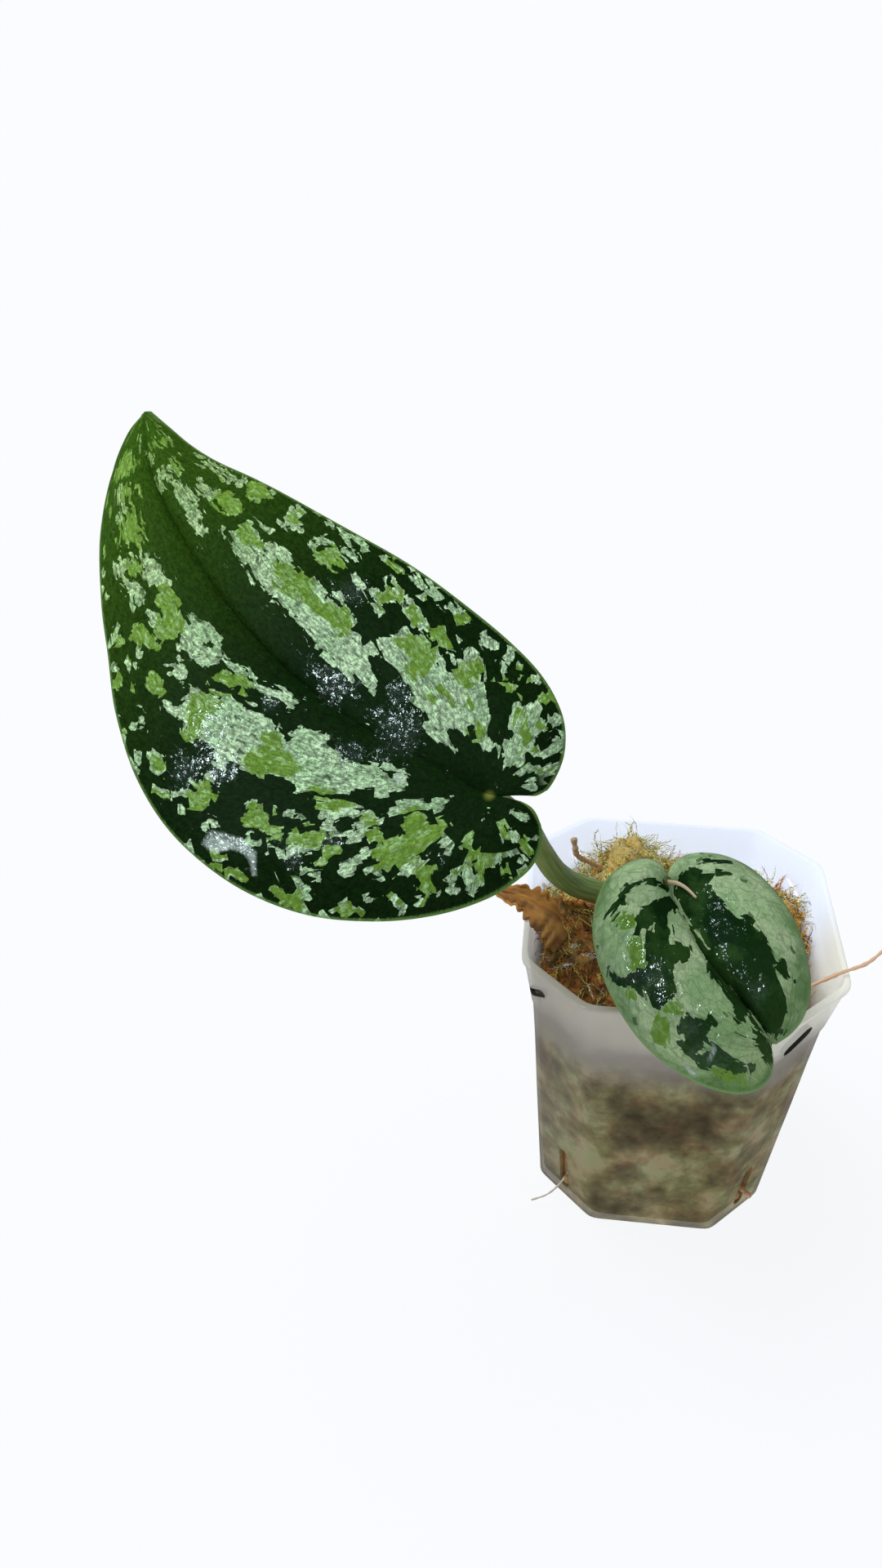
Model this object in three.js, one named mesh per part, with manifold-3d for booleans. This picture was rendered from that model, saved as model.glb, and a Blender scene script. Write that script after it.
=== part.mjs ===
// A young satin pothos (Scindapsus) in a square nursery pot of milky clear plastic,
// planted in long-fibred moss. Millimetres, +Z up, origin at the centre of the pot's base.
import * as THREE from 'three';
import { mergeVertices } from 'three/addons/utils/BufferGeometryUtils.js';
import Module from 'manifold-3d';

const wasm = await Module();
wasm.setup();

// Clearance left between pieces that touch.
const GAP = 0.35;

// The pot: half widths across its flats, wall and floor thickness, and its cut corners.
const POT = {
  height: 82, foot: 29.2, waist: 34.3, collarFoot: 34.9, rim: 37.1, lip: 37.6,
  shoulder: 66, lipDepth: 1.4, wall: 0.9, floor: 1.2, corner: 14.3,
};
// Slots through each cut corner: a slanting one in the collar, an upright one at the foot.
const RIM_SLOT = { length: 7.6, width: 2.2, z: 72.4, aside: 5.5, slant: 0.6 };
const FOOT_SLOT = { length: 15, width: 3, z: 11.5 };

// The moss: its level, rising towards the back, and heaps as [x, y, height, spread].
const MOSS = {
  level: 65, rise: 0.2, columns: 32, rings: 8, relief: 1.1,
  heaps: [[-28, -4, 17, 8], [-11, 26, 11, 5.5], [-9, 8, 10, 9], [31, 12, 6, 8]],
};
const STRANDS = { count: 46, seed: 7, sides: 4, steps: 2, sunk: 3.5, length: [7, 13], radius: [0.9, 1.5] };

// The vine's short stem, with its nodes as shares of its length.
const STEM = {
  path: [[-5, 10, 40], [-8, 9, 56], [-12, 6, 70], [-12, 3, 88]],
  radius: 3.1, tipRadius: 1.7, nodes: [0.3, 0.6, 0.82], swell: 0.2,
};

// Leaves. Outlines and midribs are [across, along] in the blade's own plane.
const LARGE_LEAF = {
  base: [-44, -63.4, 153.3], tip: [-117.2, -7.1, 200], face: [-0.11, -0.71, 0.69],
  thickness: 0.8, steps: 36, halfSteps: 6,
  bulge: 2, roll: 3.6, ease: 18, groove: 0.5, arch: 1.5, curl: 1.5, waves: 4.5, wave: 0.6,
  midrib: [[0, 0], [-4, 11], [-8, 22], [-11, 34], [-12.5, 47], [-12.5, 61], [-11, 76], [-8, 90],
    [-4, 99], [-0.2, 105.2]],
  right: [[4.2, -2.9], [7, -5.2], [11, -4.2], [15.5, -1.2], [19, 3.5], [21, 11], [21, 20],
    [19.5, 31], [17.2, 43.5], [14, 55.5], [10.5, 67], [7, 78], [4, 87], [2.2, 94], [1.2, 100],
    [0.6, 104.4]],
  left: [[3.2, -4.4], [3.8, -7.2], [2, -10.6], [-2, -13], [-7, -13.2], [-13, -12], [-21, -8.2],
    [-30, -1.5], [-38.5, 7.7], [-44.5, 19.5], [-47.5, 34], [-46.5, 47.5], [-42, 60], [-36, 70.5],
    [-30.5, 81], [-23, 92.5], [-14, 101], [-6, 104.6], [-1, 104.8]],
};
const SMALL_LEAF = {
  base: [-7.4, -27.5, 110.6], tip: [14.4, -54.6, 93.2], face: [-0.14, -0.61, 0.78],
  thickness: 0.8, steps: 24, halfSteps: 6,
  bulge: 4, roll: 5.5, ease: 12, groove: 1, arch: 1, curl: 5, waves: 2, wave: 0.3,
  midrib: [[0, 0], [1.2, 6], [2, 13], [1.8, 21], [0.8, 28], [0, 34], [0, 38.5]],
  right: [[-0.9, -2.8], [-0.6, -5.4], [1.5, -8.2], [5.5, -9.3], [10.5, -8.4], [15.5, -4.6],
    [19.3, 1], [21.8, 9], [22.7, 18], [21.8, 26.5], [18.5, 34.5], [13.5, 41], [9, 44], [5, 44.2],
    [2, 42.2], [0.5, 39]],
  left: [[-1.9, -1.7], [-4.6, -3.3], [-8, -3.4], [-11.5, -2], [-14.7, 1], [-17.3, 6], [-18.5, 13],
    [-18.1, 20.5], [-16.3, 27], [-13.5, 32.8], [-9.5, 36.6], [-5, 38.4], [-0.7, 38.9]],
};
// How far the ribs of a blade spread along its midrib.
const FAN = { even: 0.1, power: 3.2 };

// Leaf stalks: from the stem to under the blade, thick at the sheath and slim at the top.
const LARGE_PETIOLE = {
  path: [[-12, 6, 76], [-19, 3.4, 82.4], [-25.7, 0.4, 86.7], [-30.6, -2.8, 92.5], [-34.5, -8, 102],
    [-38, -19, 116.5], [-41.5, -37, 133], [-43.6, -54, 146.5]],
  radius: 3.1, tipRadius: 1.9, steps: 28, inset: 2.5,
};
const SMALL_PETIOLE = {
  path: [[-12, 3.4, 82], [-9, -3, 87.5], [-7, -12, 94.5], [-6.8, -20, 101]],
  radius: 2, tipRadius: 1.2, steps: 16, inset: 2,
};

// Roots: one over the rim, and two that grow down through the moss to the foot slots.
const ROOTS = {
  root_over_rim: {
    path: [[-11, 4, 70], [-2, -8, 71], [10, -20, 74], [20, -26, 79], [28, -23.5, 81.4], [35, -20, 83],
      [41, -17.4, 84.2], [47, -13, 87.3]],
    radius: 1, tipRadius: 0.8, steps: 40,
  },
  root_foot_left: {
    path: [[-8, 9, 56], [-16, 2, 44], [-20, -8, 26], [-20.5, -19, 12], [-23, -22.4, 6.5],
      [-26.5, -25.4, 4], [-31, -26.5, 2]],
    radius: 0.9, tipRadius: 0.5, steps: 30,
  },
  root_foot_right: {
    path: [[-6, 9.5, 48], [4, 2, 38], [14, -8, 24], [19, -16, 14], [21.5, -21, 10], [25.2, -24.6, 9.4]],
    radius: 1, tipRadius: 1, steps: 24,
  },
};
const KNOBS = { count: 9, size: 0.16 };

// Dry remains: a bent twig, and a papery sheath that points out over the rim.
const TWIG = {
  path: [[-26.6, 22.6, 85], [-25.4, 21.6, 80.5], [-22, 23, 77.5], [-15, 24, 74]],
  radius: 1, tipRadius: 0.8, steps: 14,
};
const SHEATH = {
  path: [[-26, -7, 79], [-32, -6, 83.6], [-38.5, -4, 85.6], [-44.5, -2, 84.8]],
  width: 3.4, thickness: 0.8, cup: 2, steps: 12, halfSteps: 3, up: [0, -0.3, 1],
};
// A dry scale on the small leaf, from the notch across one lobe, as [side, share] places.
const SCALE = {
  start: [-0.12, 0.2], end: [-0.22, 0.5], width: 0.9, thickness: 0.6, raised: 0.1, steps: 8,
};

const COLOURS = {
  plastic: ['#dfe4ec', 0.35], moss: ['#7d6238', 0.95], stem: ['#5f7d3c', 0.55],
  petiole: ['#7f9c68', 0.45], leaf: ['#4d7442', 0.35], root: ['#a8683a', 0.8], dry: ['#7a4f2c', 0.9],
};

function material(name) {
  const [color, roughness] = COLOURS[name];
  return new THREE.MeshStandardMaterial({ color, roughness, metalness: 0 });
}

function vector(point) {
  return new THREE.Vector3(...point);
}

function seeded(seed) {
  let state = seed;
  return () => {
    state = (state + 0x6d2b79f5) | 0;
    let mixed = Math.imul(state ^ (state >>> 15), 1 | state);
    mixed = (mixed + Math.imul(mixed ^ (mixed >>> 7), 61 | mixed)) ^ mixed;
    return ((mixed ^ (mixed >>> 14)) >>> 0) / 4294967296;
  };
}

// Closed solids for cutting and joining, and back to a geometry.
function solid(geometry) {
  const bare = geometry.clone();
  bare.deleteAttribute('normal');
  bare.deleteAttribute('uv');
  const merged = mergeVertices(bare, 1e-4);
  return new wasm.Manifold(new wasm.Mesh({
    numProp: 3,
    vertProperties: new Float32Array(merged.attributes.position.array),
    triVerts: new Uint32Array(merged.index.array),
  }));
}

function geometryOf(manifold) {
  const { numProp, vertProperties, triVerts } = manifold.getMesh();
  const positions = new Float32Array(triVerts.length * 3);
  triVerts.forEach((corner, i) => {
    for (let axis = 0; axis < 3; axis += 1) {
      positions[i * 3 + axis] = vertProperties[corner * numProp + axis];
    }
  });
  const geometry = new THREE.BufferGeometry();
  geometry.setAttribute('position', new THREE.BufferAttribute(positions, 3));
  geometry.computeVertexNormals();
  return geometry;
}

function largestBody(manifold) {
  return manifold.decompose().reduce((best, body) => (body.volume() > best.volume() ? body : best));
}

function moveVertices(geometry, place) {
  const position = geometry.attributes.position;
  const point = new THREE.Vector3();
  for (let i = 0; i < position.count; i += 1) {
    point.fromBufferAttribute(position, i);
    place(point, i);
    position.setXYZ(i, point.x, point.y, point.z);
  }
  return geometry;
}

// A tube along a smooth path, its radius following a formula of the share along it.
function tube(points, radiusAt, steps, sides) {
  const path = new THREE.CatmullRomCurve3(points.map(vector), false, 'centripetal');
  const section = new THREE.Shape();
  for (let i = 0; i < sides; i += 1) {
    const angle = (2 * Math.PI * i) / sides;
    section[i ? 'lineTo' : 'moveTo'](Math.cos(angle), Math.sin(angle));
  }
  const geometry = new THREE.ExtrudeGeometry(section, { steps, extrudePath: path, bevelEnabled: false });
  const centres = path.getSpacedPoints(steps);
  return moveVertices(geometry, (point) => {
    let ring = 0;
    centres.forEach((centre, i) => {
      if (Math.abs(point.distanceTo(centre) - 1) < Math.abs(point.distanceTo(centres[ring]) - 1)) {
        ring = i;
      }
    });
    point.sub(centres[ring]).setLength(radiusAt(ring / steps)).add(centres[ring]);
  });
}

// The half width in one direction of a square with cut corners.
function octagonReach(half, x, y) {
  const along = Math.hypot(x, y);
  const [u, v] = [Math.abs(x) / along, Math.abs(y) / along];
  return Math.min(half / Math.max(u, v), (2 * half - POT.corner) / (u + v));
}

// A tapered eight-sided body from a profile of [half width, height] points.
function octagonal(profile) {
  const geometry = new THREE.LatheGeometry(profile.map(([half, z]) => new THREE.Vector2(half, z)), 8, Math.PI / 8);
  geometry.rotateX(Math.PI / 2);
  return moveVertices(geometry, (point) => {
    const half = Math.hypot(point.x, point.y);
    if (half < 1e-6) return;
    const inner = half - POT.corner * (half / POT.rim) ** 0.15;
    const wide = Math.abs(point.x) > Math.abs(point.y);
    point.x = Math.sign(point.x) * (wide ? half : inner);
    point.y = Math.sign(point.y) * (wide ? inner : half);
  });
}

function innerHalf(z) {
  if (z > POT.shoulder) {
    return THREE.MathUtils.mapLinear(z, POT.shoulder, POT.height, POT.collarFoot, POT.rim) - POT.wall;
  }
  return THREE.MathUtils.mapLinear(z, 0, POT.shoulder, POT.foot, POT.waist) - POT.wall;
}

// A round-ended bar through a cut corner, used to cut a slot. The corner faces the angle turn.
function slotCutter(slot, turn) {
  const bar = new THREE.Shape();
  const reach = (slot.length - slot.width) / 2;
  bar.absarc(reach, 0, slot.width / 2, -Math.PI / 2, Math.PI / 2);
  bar.absarc(-reach, 0, slot.width / 2, Math.PI / 2, (3 * Math.PI) / 2);
  const geometry = new THREE.ExtrudeGeometry(bar, { depth: 16, bevelEnabled: false, curveSegments: 3 });
  geometry.rotateZ(slot.slant ?? Math.PI / 2);
  geometry.translate(-(slot.aside ?? 0), 0, 0);
  geometry.rotateX(Math.PI / 2);
  geometry.rotateZ(Math.PI / 2);
  const out = (2 * innerHalf(slot.z) - POT.corner) / Math.SQRT2;
  geometry.translate(out - 6, 0, slot.z);
  geometry.rotateZ(turn);
  return geometry;
}

function potGeometry() {
  const { wall, floor } = POT;
  const lipFoot = POT.height - POT.lipDepth;
  let pot = solid(octagonal([
    [0, 0], [POT.foot, 0], [POT.waist, POT.shoulder], [POT.collarFoot, POT.shoulder + 0.9],
    [POT.rim, lipFoot], [POT.lip, lipFoot + 0.3], [POT.lip, POT.height],
    [POT.rim - wall, POT.height], [POT.collarFoot - wall, POT.shoulder + 1.4],
    [POT.waist - wall, POT.shoulder + 0.4], [innerHalf(floor), floor], [0, floor],
  ]));
  for (let corner = 0; corner < 4; corner += 1) {
    const turn = Math.PI / 4 + (corner * Math.PI) / 2;
    pot = pot.subtract(solid(slotCutter(RIM_SLOT, turn)));
    pot = pot.subtract(solid(slotCutter(FOOT_SLOT, turn)));
  }
  return geometryOf(pot);
}

function stemRadius(share) {
  const lumps = STEM.nodes.map((node) => Math.exp(-(((share - node) / 0.05) ** 2)));
  const base = THREE.MathUtils.lerp(STEM.radius, STEM.tipRadius, share ** 3);
  return base * (1 + STEM.swell * Math.max(...lumps));
}

// A path with both ends moved out, so that a cutter reaches past the piece it clears.
function lengthened(path, extra) {
  const stretch = (end, next) => vector(end).sub(vector(next)).setLength(extra).add(vector(end)).toArray();
  const last = path.length - 1;
  return [stretch(path[0], path[1]), ...path.slice(1, last), stretch(path[last], path[last - 1])];
}

function stemGeometry(grow) {
  return tube(lengthened(STEM.path, grow), (share) => stemRadius(share) + grow, 20, 8);
}

function taperedTube(piece, grow, sides, knobs = 0) {
  const radiusAt = (share) => {
    const plain = THREE.MathUtils.lerp(piece.radius, piece.tipRadius, share);
    return plain * (1 + knobs * Math.cos(2 * Math.PI * KNOBS.count * share)) + grow;
  };
  return tube(lengthened(piece.path, grow), radiusAt, piece.steps, sides);
}

// The blade's own axes: across it, along it, and out of its face.
function bladeFrame(leaf) {
  const base = vector(leaf.base);
  const along = vector(leaf.tip).sub(base);
  const length = along.length();
  along.normalize();
  const across = along.clone().cross(vector(leaf.face)).normalize();
  const face = across.clone().cross(along);
  return { base, along, across, face, length };
}

function onSpline(points, share) {
  const place = share * (points.length - 1);
  const i = Math.min(Math.floor(place), points.length - 2);
  const u = place - i;
  const before = points[i - 1] ?? points[i].map((value, axis) => 2 * value - points[i + 1][axis]);
  const after = points[i + 2] ?? points[i + 1].map((value, axis) => 2 * value - points[i][axis]);
  return [0, 1].map((axis) => {
    const [a, b, c, d] = [before[axis], points[i][axis], points[i + 1][axis], after[axis]];
    return b + 0.5 * u * (c - a + u * (2 * a - 5 * b + 4 * c - d + u * (3 * (b - c) + d - a)));
  });
}

// A point in the middle of the blade. side runs from -1 at the left margin to 1 at the right,
// and share from 0 at the notch to 1 at the tip.
function bladeMiddle(leaf, frame, side, share) {
  const k = Math.abs(side);
  const rib = onSpline(leaf.midrib, FAN.even * share + (1 - FAN.even) * share ** FAN.power);
  const margin = onSpline(side < 0 ? leaf.left : leaf.right, share);
  const width = Math.hypot(margin[0] - rib[0], margin[1] - rib[1]);
  const across = rib[0] + k * (margin[0] - rib[0]);
  const along = rib[1] + k * (margin[1] - rib[1]);
  const reach = THREE.MathUtils.clamp(along / frame.length, 0, 1);
  const ease = Math.min(1, width / leaf.ease);
  const rolled = leaf.roll * k ** 4 * Math.min(1, share * 12);
  const waved = leaf.wave * k ** 3 * Math.sin(2 * Math.PI * leaf.waves * share);
  const height = ease * (4 * leaf.bulge * k * (1 - k) - rolled + waved)
    + leaf.arch * Math.sin(Math.PI * reach) - leaf.curl * reach ** 4
    - leaf.groove * ease * Math.exp(-((k * width) ** 2) / 2);
  return frame.base.clone()
    .addScaledVector(frame.across, across)
    .addScaledVector(frame.along, along)
    .addScaledVector(frame.face, height);
}

function bladeNormal(leaf, frame, side, share) {
  const step = 0.01;
  const at = (s, t) => bladeMiddle(leaf, frame, THREE.MathUtils.clamp(s, -1, 1), THREE.MathUtils.clamp(t, 0, 1));
  const over = at(side + step, share).sub(at(side - step, share));
  const up = at(side, share + step).sub(at(side, share - step));
  return over.cross(up).normalize();
}

// The lower face of a thin box takes the same diagonals as the upper one.
function matchDiagonals(geometry) {
  const { start, count } = geometry.groups[5];
  const index = geometry.index;
  for (let i = start; i < start + count; i += 6) {
    const [a, b, c, d] = [index.getX(i), index.getX(i + 1), index.getX(i + 4), index.getX(i + 5)];
    [a, b, c, a, c, d].forEach((corner, k) => index.setX(i + k, corner));
  }
  return geometry;
}

function bladeGeometry(leaf) {
  const frame = bladeFrame(leaf);
  const box = matchDiagonals(new THREE.BoxGeometry(2, 1, 1, 2 * leaf.halfSteps, leaf.steps, 1));
  return moveVertices(box, (point) => {
    const [side, share, layer] = [point.x, point.y + 0.5, point.z];
    const lift = bladeNormal(leaf, frame, side, share).multiplyScalar(layer * leaf.thickness);
    point.copy(bladeMiddle(leaf, frame, side, share)).add(lift);
  });
}

// A stalk from the stem to just under its blade, cut clear of the stem.
function petiolePiece(petiole, leaf) {
  const frame = bladeFrame(leaf);
  const share = petiole.inset / frame.length / FAN.even;
  const seat = bladeMiddle(leaf, frame, 0, Math.min(share, 0.2));
  const top = seat.addScaledVector(frame.face, -(leaf.thickness / 2 + GAP + 0.1));
  const below = top.clone().addScaledVector(frame.face, -2.5);
  return { ...petiole, path: [...petiole.path, below.toArray(), top.toArray()] };
}

// The dry sheath: a pointed, cupped strip along its path.
function sheathGeometry(grow) {
  const path = new THREE.CatmullRomCurve3(lengthened(SHEATH.path, grow).map(vector));
  const box = matchDiagonals(new THREE.BoxGeometry(2, 1, 1, 2 * SHEATH.halfSteps, SHEATH.steps, 1));
  return moveVertices(box, (point) => {
    const [side, share, layer] = [point.x, point.y + 0.5, point.z];
    const forward = path.getTangentAt(share);
    const aside = forward.clone().cross(vector(SHEATH.up)).normalize();
    const up = aside.clone().cross(forward);
    const width = SHEATH.width * (1 - 0.88 * share ** 1.6);
    const outward = (side * (width + grow)) / width;
    const bent = SHEATH.cup * outward ** 2 * (1 - share);
    point.copy(path.getPointAt(share))
      .addScaledVector(aside, outward * width)
      .addScaledVector(up, layer * (SHEATH.thickness + 2 * grow) - bent);
  });
}

// The dry scale: a narrow strip that follows the small leaf's face.
function scaleGeometry() {
  const frame = bladeFrame(SMALL_LEAF);
  const box = matchDiagonals(new THREE.BoxGeometry(2, 1, 1, 2, SCALE.steps, 1));
  const lift = (SMALL_LEAF.thickness + SCALE.thickness) / 2 + GAP + SCALE.raised;
  return moveVertices(box, (point) => {
    const [side, along, layer] = [point.x, point.y + 0.5, point.z];
    const [rib, share] = SCALE.start.map((value, i) => THREE.MathUtils.lerp(value, SCALE.end[i], along));
    const [rib2, share2] = SCALE.start.map((value, i) => THREE.MathUtils.lerp(value, SCALE.end[i], along + 0.02));
    const middle = bladeMiddle(SMALL_LEAF, frame, rib, share);
    const forward = bladeMiddle(SMALL_LEAF, frame, rib2, share2).sub(middle).normalize();
    const normal = bladeNormal(SMALL_LEAF, frame, rib, share);
    const aside = forward.cross(normal).normalize();
    const half = (SCALE.width / 2) * (1 - 0.7 * along ** 2);
    point.copy(middle)
      .addScaledVector(aside, side * half)
      .addScaledVector(normal, lift + layer * SCALE.thickness);
  });
}

function mossLevel(x, y) {
  const heaped = MOSS.heaps.reduce((sum, [hx, hy, height, spread]) => (
    sum + height * Math.exp(-((x - hx) ** 2 + (y - hy) ** 2) / (2 * spread * spread))
  ), 0);
  const uneven = Math.sin(0.55 * x + 1.3) * Math.cos(0.62 * y) + 0.6 * Math.sin(1.1 * x + 0.9 * y);
  return MOSS.level + MOSS.rise * y + heaped + MOSS.relief * uneven;
}

// The moss body: the pot's inside, with its top raised into heaps.
function mossBody() {
  const low = POT.floor + GAP;
  const profile = [[0, low], [1, low]];
  for (let i = 1; i <= 4; i += 1) profile.push([1, low + (i / 4) * (MOSS.level - 8 - low)]);
  for (let i = 0; i < MOSS.rings; i += 1) profile.push([1 - i / MOSS.rings, POT.height]);
  profile.push([0, POT.height]);
  const geometry = new THREE.LatheGeometry(profile.map(([r, z]) => new THREE.Vector2(r, z)), MOSS.columns);
  geometry.rotateX(Math.PI / 2);
  return moveVertices(geometry, (point) => {
    const share = Math.hypot(point.x, point.y);
    const onTop = point.z > MOSS.level;
    if (share < 1e-6) {
      if (onTop) point.z = mossLevel(0, 0);
      return;
    }
    const half = innerHalf(onTop ? MOSS.level : point.z) - 2 * GAP;
    const reach = share * octagonReach(half, point.x, point.y);
    point.x *= reach / share;
    point.y *= reach / share;
    if (onTop) point.z = mossLevel(point.x, point.y) - 3 * share ** 12;
  });
}

// Loose strands that stand out of the heaps, most of them where the moss is high.
function mossStrands() {
  const random = seeded(STRANDS.seed);
  const between = ([low, high]) => low + (high - low) * random();
  const strands = [];
  while (strands.length < STRANDS.count) {
    const x = 66 * random() - 33;
    const y = 66 * random() - 33;
    const level = mossLevel(x, y);
    const inside = Math.hypot(x, y) < octagonReach(innerHalf(MOSS.level) - 3, x, y);
    const kept = random() < 0.25 + (level - MOSS.level) / 14;
    const turn = 2 * Math.PI * random();
    const rise = 0.35 + 0.75 * random();
    const length = between(STRANDS.length);
    const radius = between(STRANDS.radius);
    const droop = 0.5 + random();
    if (inside && kept) {
      const ahead = new THREE.Vector3(Math.cos(turn), Math.sin(turn), rise).normalize();
      const root = new THREE.Vector3(x, y, level).addScaledVector(ahead, -STRANDS.sunk);
      const middle = new THREE.Vector3(x, y, level).addScaledVector(ahead, length * 0.5);
      const end = new THREE.Vector3(x, y, level).addScaledVector(ahead, length);
      end.z -= droop * length * 0.4;
      const path = [root, middle, end].map((point) => point.toArray());
      strands.push(tube(path, (share) => radius * (1 - 0.7 * share), STRANDS.steps, STRANDS.sides));
    }
  }
  return strands;
}

function mossGeometry(passing) {
  const low = POT.floor + GAP;
  const room = solid(octagonal([
    [0, low], [innerHalf(low) - GAP, low], [innerHalf(POT.shoulder) - GAP, POT.shoulder],
    [POT.rim - POT.wall - GAP, POT.height + GAP], [POT.rim + 9, POT.height + GAP],
    [POT.rim + 9, POT.height + 30], [0, POT.height + 30],
  ]));
  let moss = solid(mossBody());
  mossStrands().forEach((strand) => { moss = moss.add(solid(strand)); });
  moss = moss.intersect(room);
  passing.forEach((piece) => { moss = moss.subtract(solid(piece)); });
  return geometryOf(largestBody(moss));
}

const group = new THREE.Group();
function addPiece(name, geometry, finish) {
  const mesh = new THREE.Mesh(geometry, material(finish));
  mesh.name = name;
  group.add(mesh);
}

const stemRoom = solid(stemGeometry(GAP));
const clearOfStem = (geometry) => geometryOf(largestBody(solid(geometry).subtract(stemRoom)));
const largePetiole = petiolePiece(LARGE_PETIOLE, LARGE_LEAF);
const smallPetiole = petiolePiece(SMALL_PETIOLE, SMALL_LEAF);
const rootPieces = Object.entries(ROOTS);

addPiece('pot', potGeometry(), 'plastic');
addPiece('moss', mossGeometry([
  stemGeometry(GAP), taperedTube(largePetiole, GAP, 8), taperedTube(smallPetiole, GAP, 8),
  ...rootPieces.map(([, root]) => taperedTube({ ...root, steps: root.steps / 2 }, 2 * GAP, 6)),
  taperedTube(TWIG, GAP, 8), sheathGeometry(2 * GAP),
]), 'moss');
addPiece('stem', stemGeometry(0), 'stem');
addPiece('petiole_large', clearOfStem(taperedTube(largePetiole, 0, 8)), 'petiole');
addPiece('petiole_small', clearOfStem(taperedTube(smallPetiole, 0, 8)), 'petiole');
addPiece('leaf_large', bladeGeometry(LARGE_LEAF), 'leaf');
addPiece('leaf_small', bladeGeometry(SMALL_LEAF), 'leaf');
rootPieces.forEach(([name, root]) => {
  addPiece(name, clearOfStem(taperedTube(root, 0, 6, KNOBS.size)), 'root');
});
addPiece('twig_dry', taperedTube(TWIG, 0, 8), 'dry');
addPiece('sheath_dry', sheathGeometry(0), 'dry');
addPiece('scale_dry', scaleGeometry(), 'dry');

export default group;
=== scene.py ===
# A young satin pothos in a milky nursery pot: two marked leaves on green stalks, damp moss, roots
# and dry remains.
import math

import bmesh
import bpy
import numpy as np
from mathutils import Matrix, Vector, noise


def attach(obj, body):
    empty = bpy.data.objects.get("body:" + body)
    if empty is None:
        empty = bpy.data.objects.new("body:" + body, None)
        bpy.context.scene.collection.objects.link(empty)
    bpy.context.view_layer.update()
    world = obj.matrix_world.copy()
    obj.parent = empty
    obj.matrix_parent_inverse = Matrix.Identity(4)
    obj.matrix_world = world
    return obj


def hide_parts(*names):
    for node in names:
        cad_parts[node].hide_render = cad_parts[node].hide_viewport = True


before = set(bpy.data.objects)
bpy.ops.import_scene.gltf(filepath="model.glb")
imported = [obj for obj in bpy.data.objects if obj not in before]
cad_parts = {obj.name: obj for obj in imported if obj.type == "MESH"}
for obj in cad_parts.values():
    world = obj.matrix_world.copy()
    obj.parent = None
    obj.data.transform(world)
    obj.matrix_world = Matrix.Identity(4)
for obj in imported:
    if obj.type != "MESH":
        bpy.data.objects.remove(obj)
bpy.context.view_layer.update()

# Sizes here are millimetres, as on the plant's own drawing; meshes are written in metres.
MM = 0.001

# The pot: half widths across its flats, wall and floor thickness, its cut corners, and the half width
# at heights between.
POT = {
    "height": 82, "foot": 29.2, "waist": 34.3, "collar_foot": 34.9, "rim": 37.1, "lip": 37.6,
    "shoulder": 66, "lip_depth": 1.4, "wall": 0.9, "floor": 1.2, "corner": 14.3,
    "swell": [(30.4, 16), (31.9, 35), (33.3, 54)], "collar_middle": (35.6, 72),
}
RIM_SLOT = {"length": 7.6, "width": 2.2, "z": 72.4, "aside": -5.5, "slant": 0.6}
# The collar's slots from corner to corner: two at the back, the front left one and the front right one.
RIM_SLOTS = [
    RIM_SLOT, RIM_SLOT, {**RIM_SLOT, "aside": -7.2},
    {**RIM_SLOT, "aside": -2.6, "z": 70.4, "width": 4.4, "length": 9},
]
FRONT_CORNERS = (2, 3)
FOOT_SLOT = {"length": 15, "width": 3, "z": 11.5, "aside": 0, "slant": math.pi / 2}

# Stains behind the front wall, as (x, z, radius, how much paler than the rest), and that wall's y.
STAINED_WALL = -32
STAINS = [
    (-3, 40, 14, -0.12), (9, 42, 12, -0.1), (-10, 46, 9, -0.06), (8, 4, 8, -0.16), (-24, 8, 8, -0.12),
    (-15, 4, 8, -0.06), (-17, 25, 9, 0.16), (-8, 14, 9, 0.12), (16, 33, 6, 0.14), (3, 20, 7, 0.06),
    (-14, 58, 10, 0.04), (17, 12, 7, 0.05),
]

# The moss: its level, rising towards the back, and heaps as (x, y, height, spread).
MOSS = {
    "level": 65, "rise": 0.2, "relief": 1.1,
    "heaps": [(-28, -4, 17, 8), (-11, 26, 11, 5.5), (-9, 8, 10, 9), (31, 12, 6, 8)],
}

# Leaves. Outlines and midribs are (across, along) in the blade's own plane.
LARGE_LEAF = {
    "base": (-44, -63.4, 153.3), "tip": (-117.2, -7.1, 200), "face": (-0.11, -0.71, 0.69), "thickness": 0.8,
    "bulge": 2, "roll": 3.6, "ease": 18, "groove": 0.5, "arch": 1.5, "curl": 1.5, "waves": 4.5, "wave": 0.6,
    "midrib": [(0, 0), (-4, 11), (-8, 22), (-11, 34), (-12.5, 47), (-12.5, 61), (-11, 76), (-8, 90), (-4, 99),
               (-0.2, 105.2)],
    "right": [(4.2, -2.9), (7, -5.2), (11, -4.2), (15.5, -1.2), (19, 3.5), (21, 11), (21, 20), (19.5, 31),
              (17.2, 43.5), (14, 55.5), (10.5, 67), (7, 78), (4, 87), (2.2, 94), (1.2, 100), (0.6, 104.4)],
    "left": [(3.2, -4.4), (3.8, -7.2), (2, -10.6), (-2, -13), (-7, -13.2), (-13, -12), (-21, -8.2),
             (-30, -1.5), (-38.5, 7.7), (-44.5, 19.5), (-47.5, 34), (-46.5, 47.5), (-42, 60), (-36, 70.5),
             (-30.5, 81), (-23, 92.5), (-14, 101), (-6, 104.6), (-1, 104.8)],
}
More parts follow.
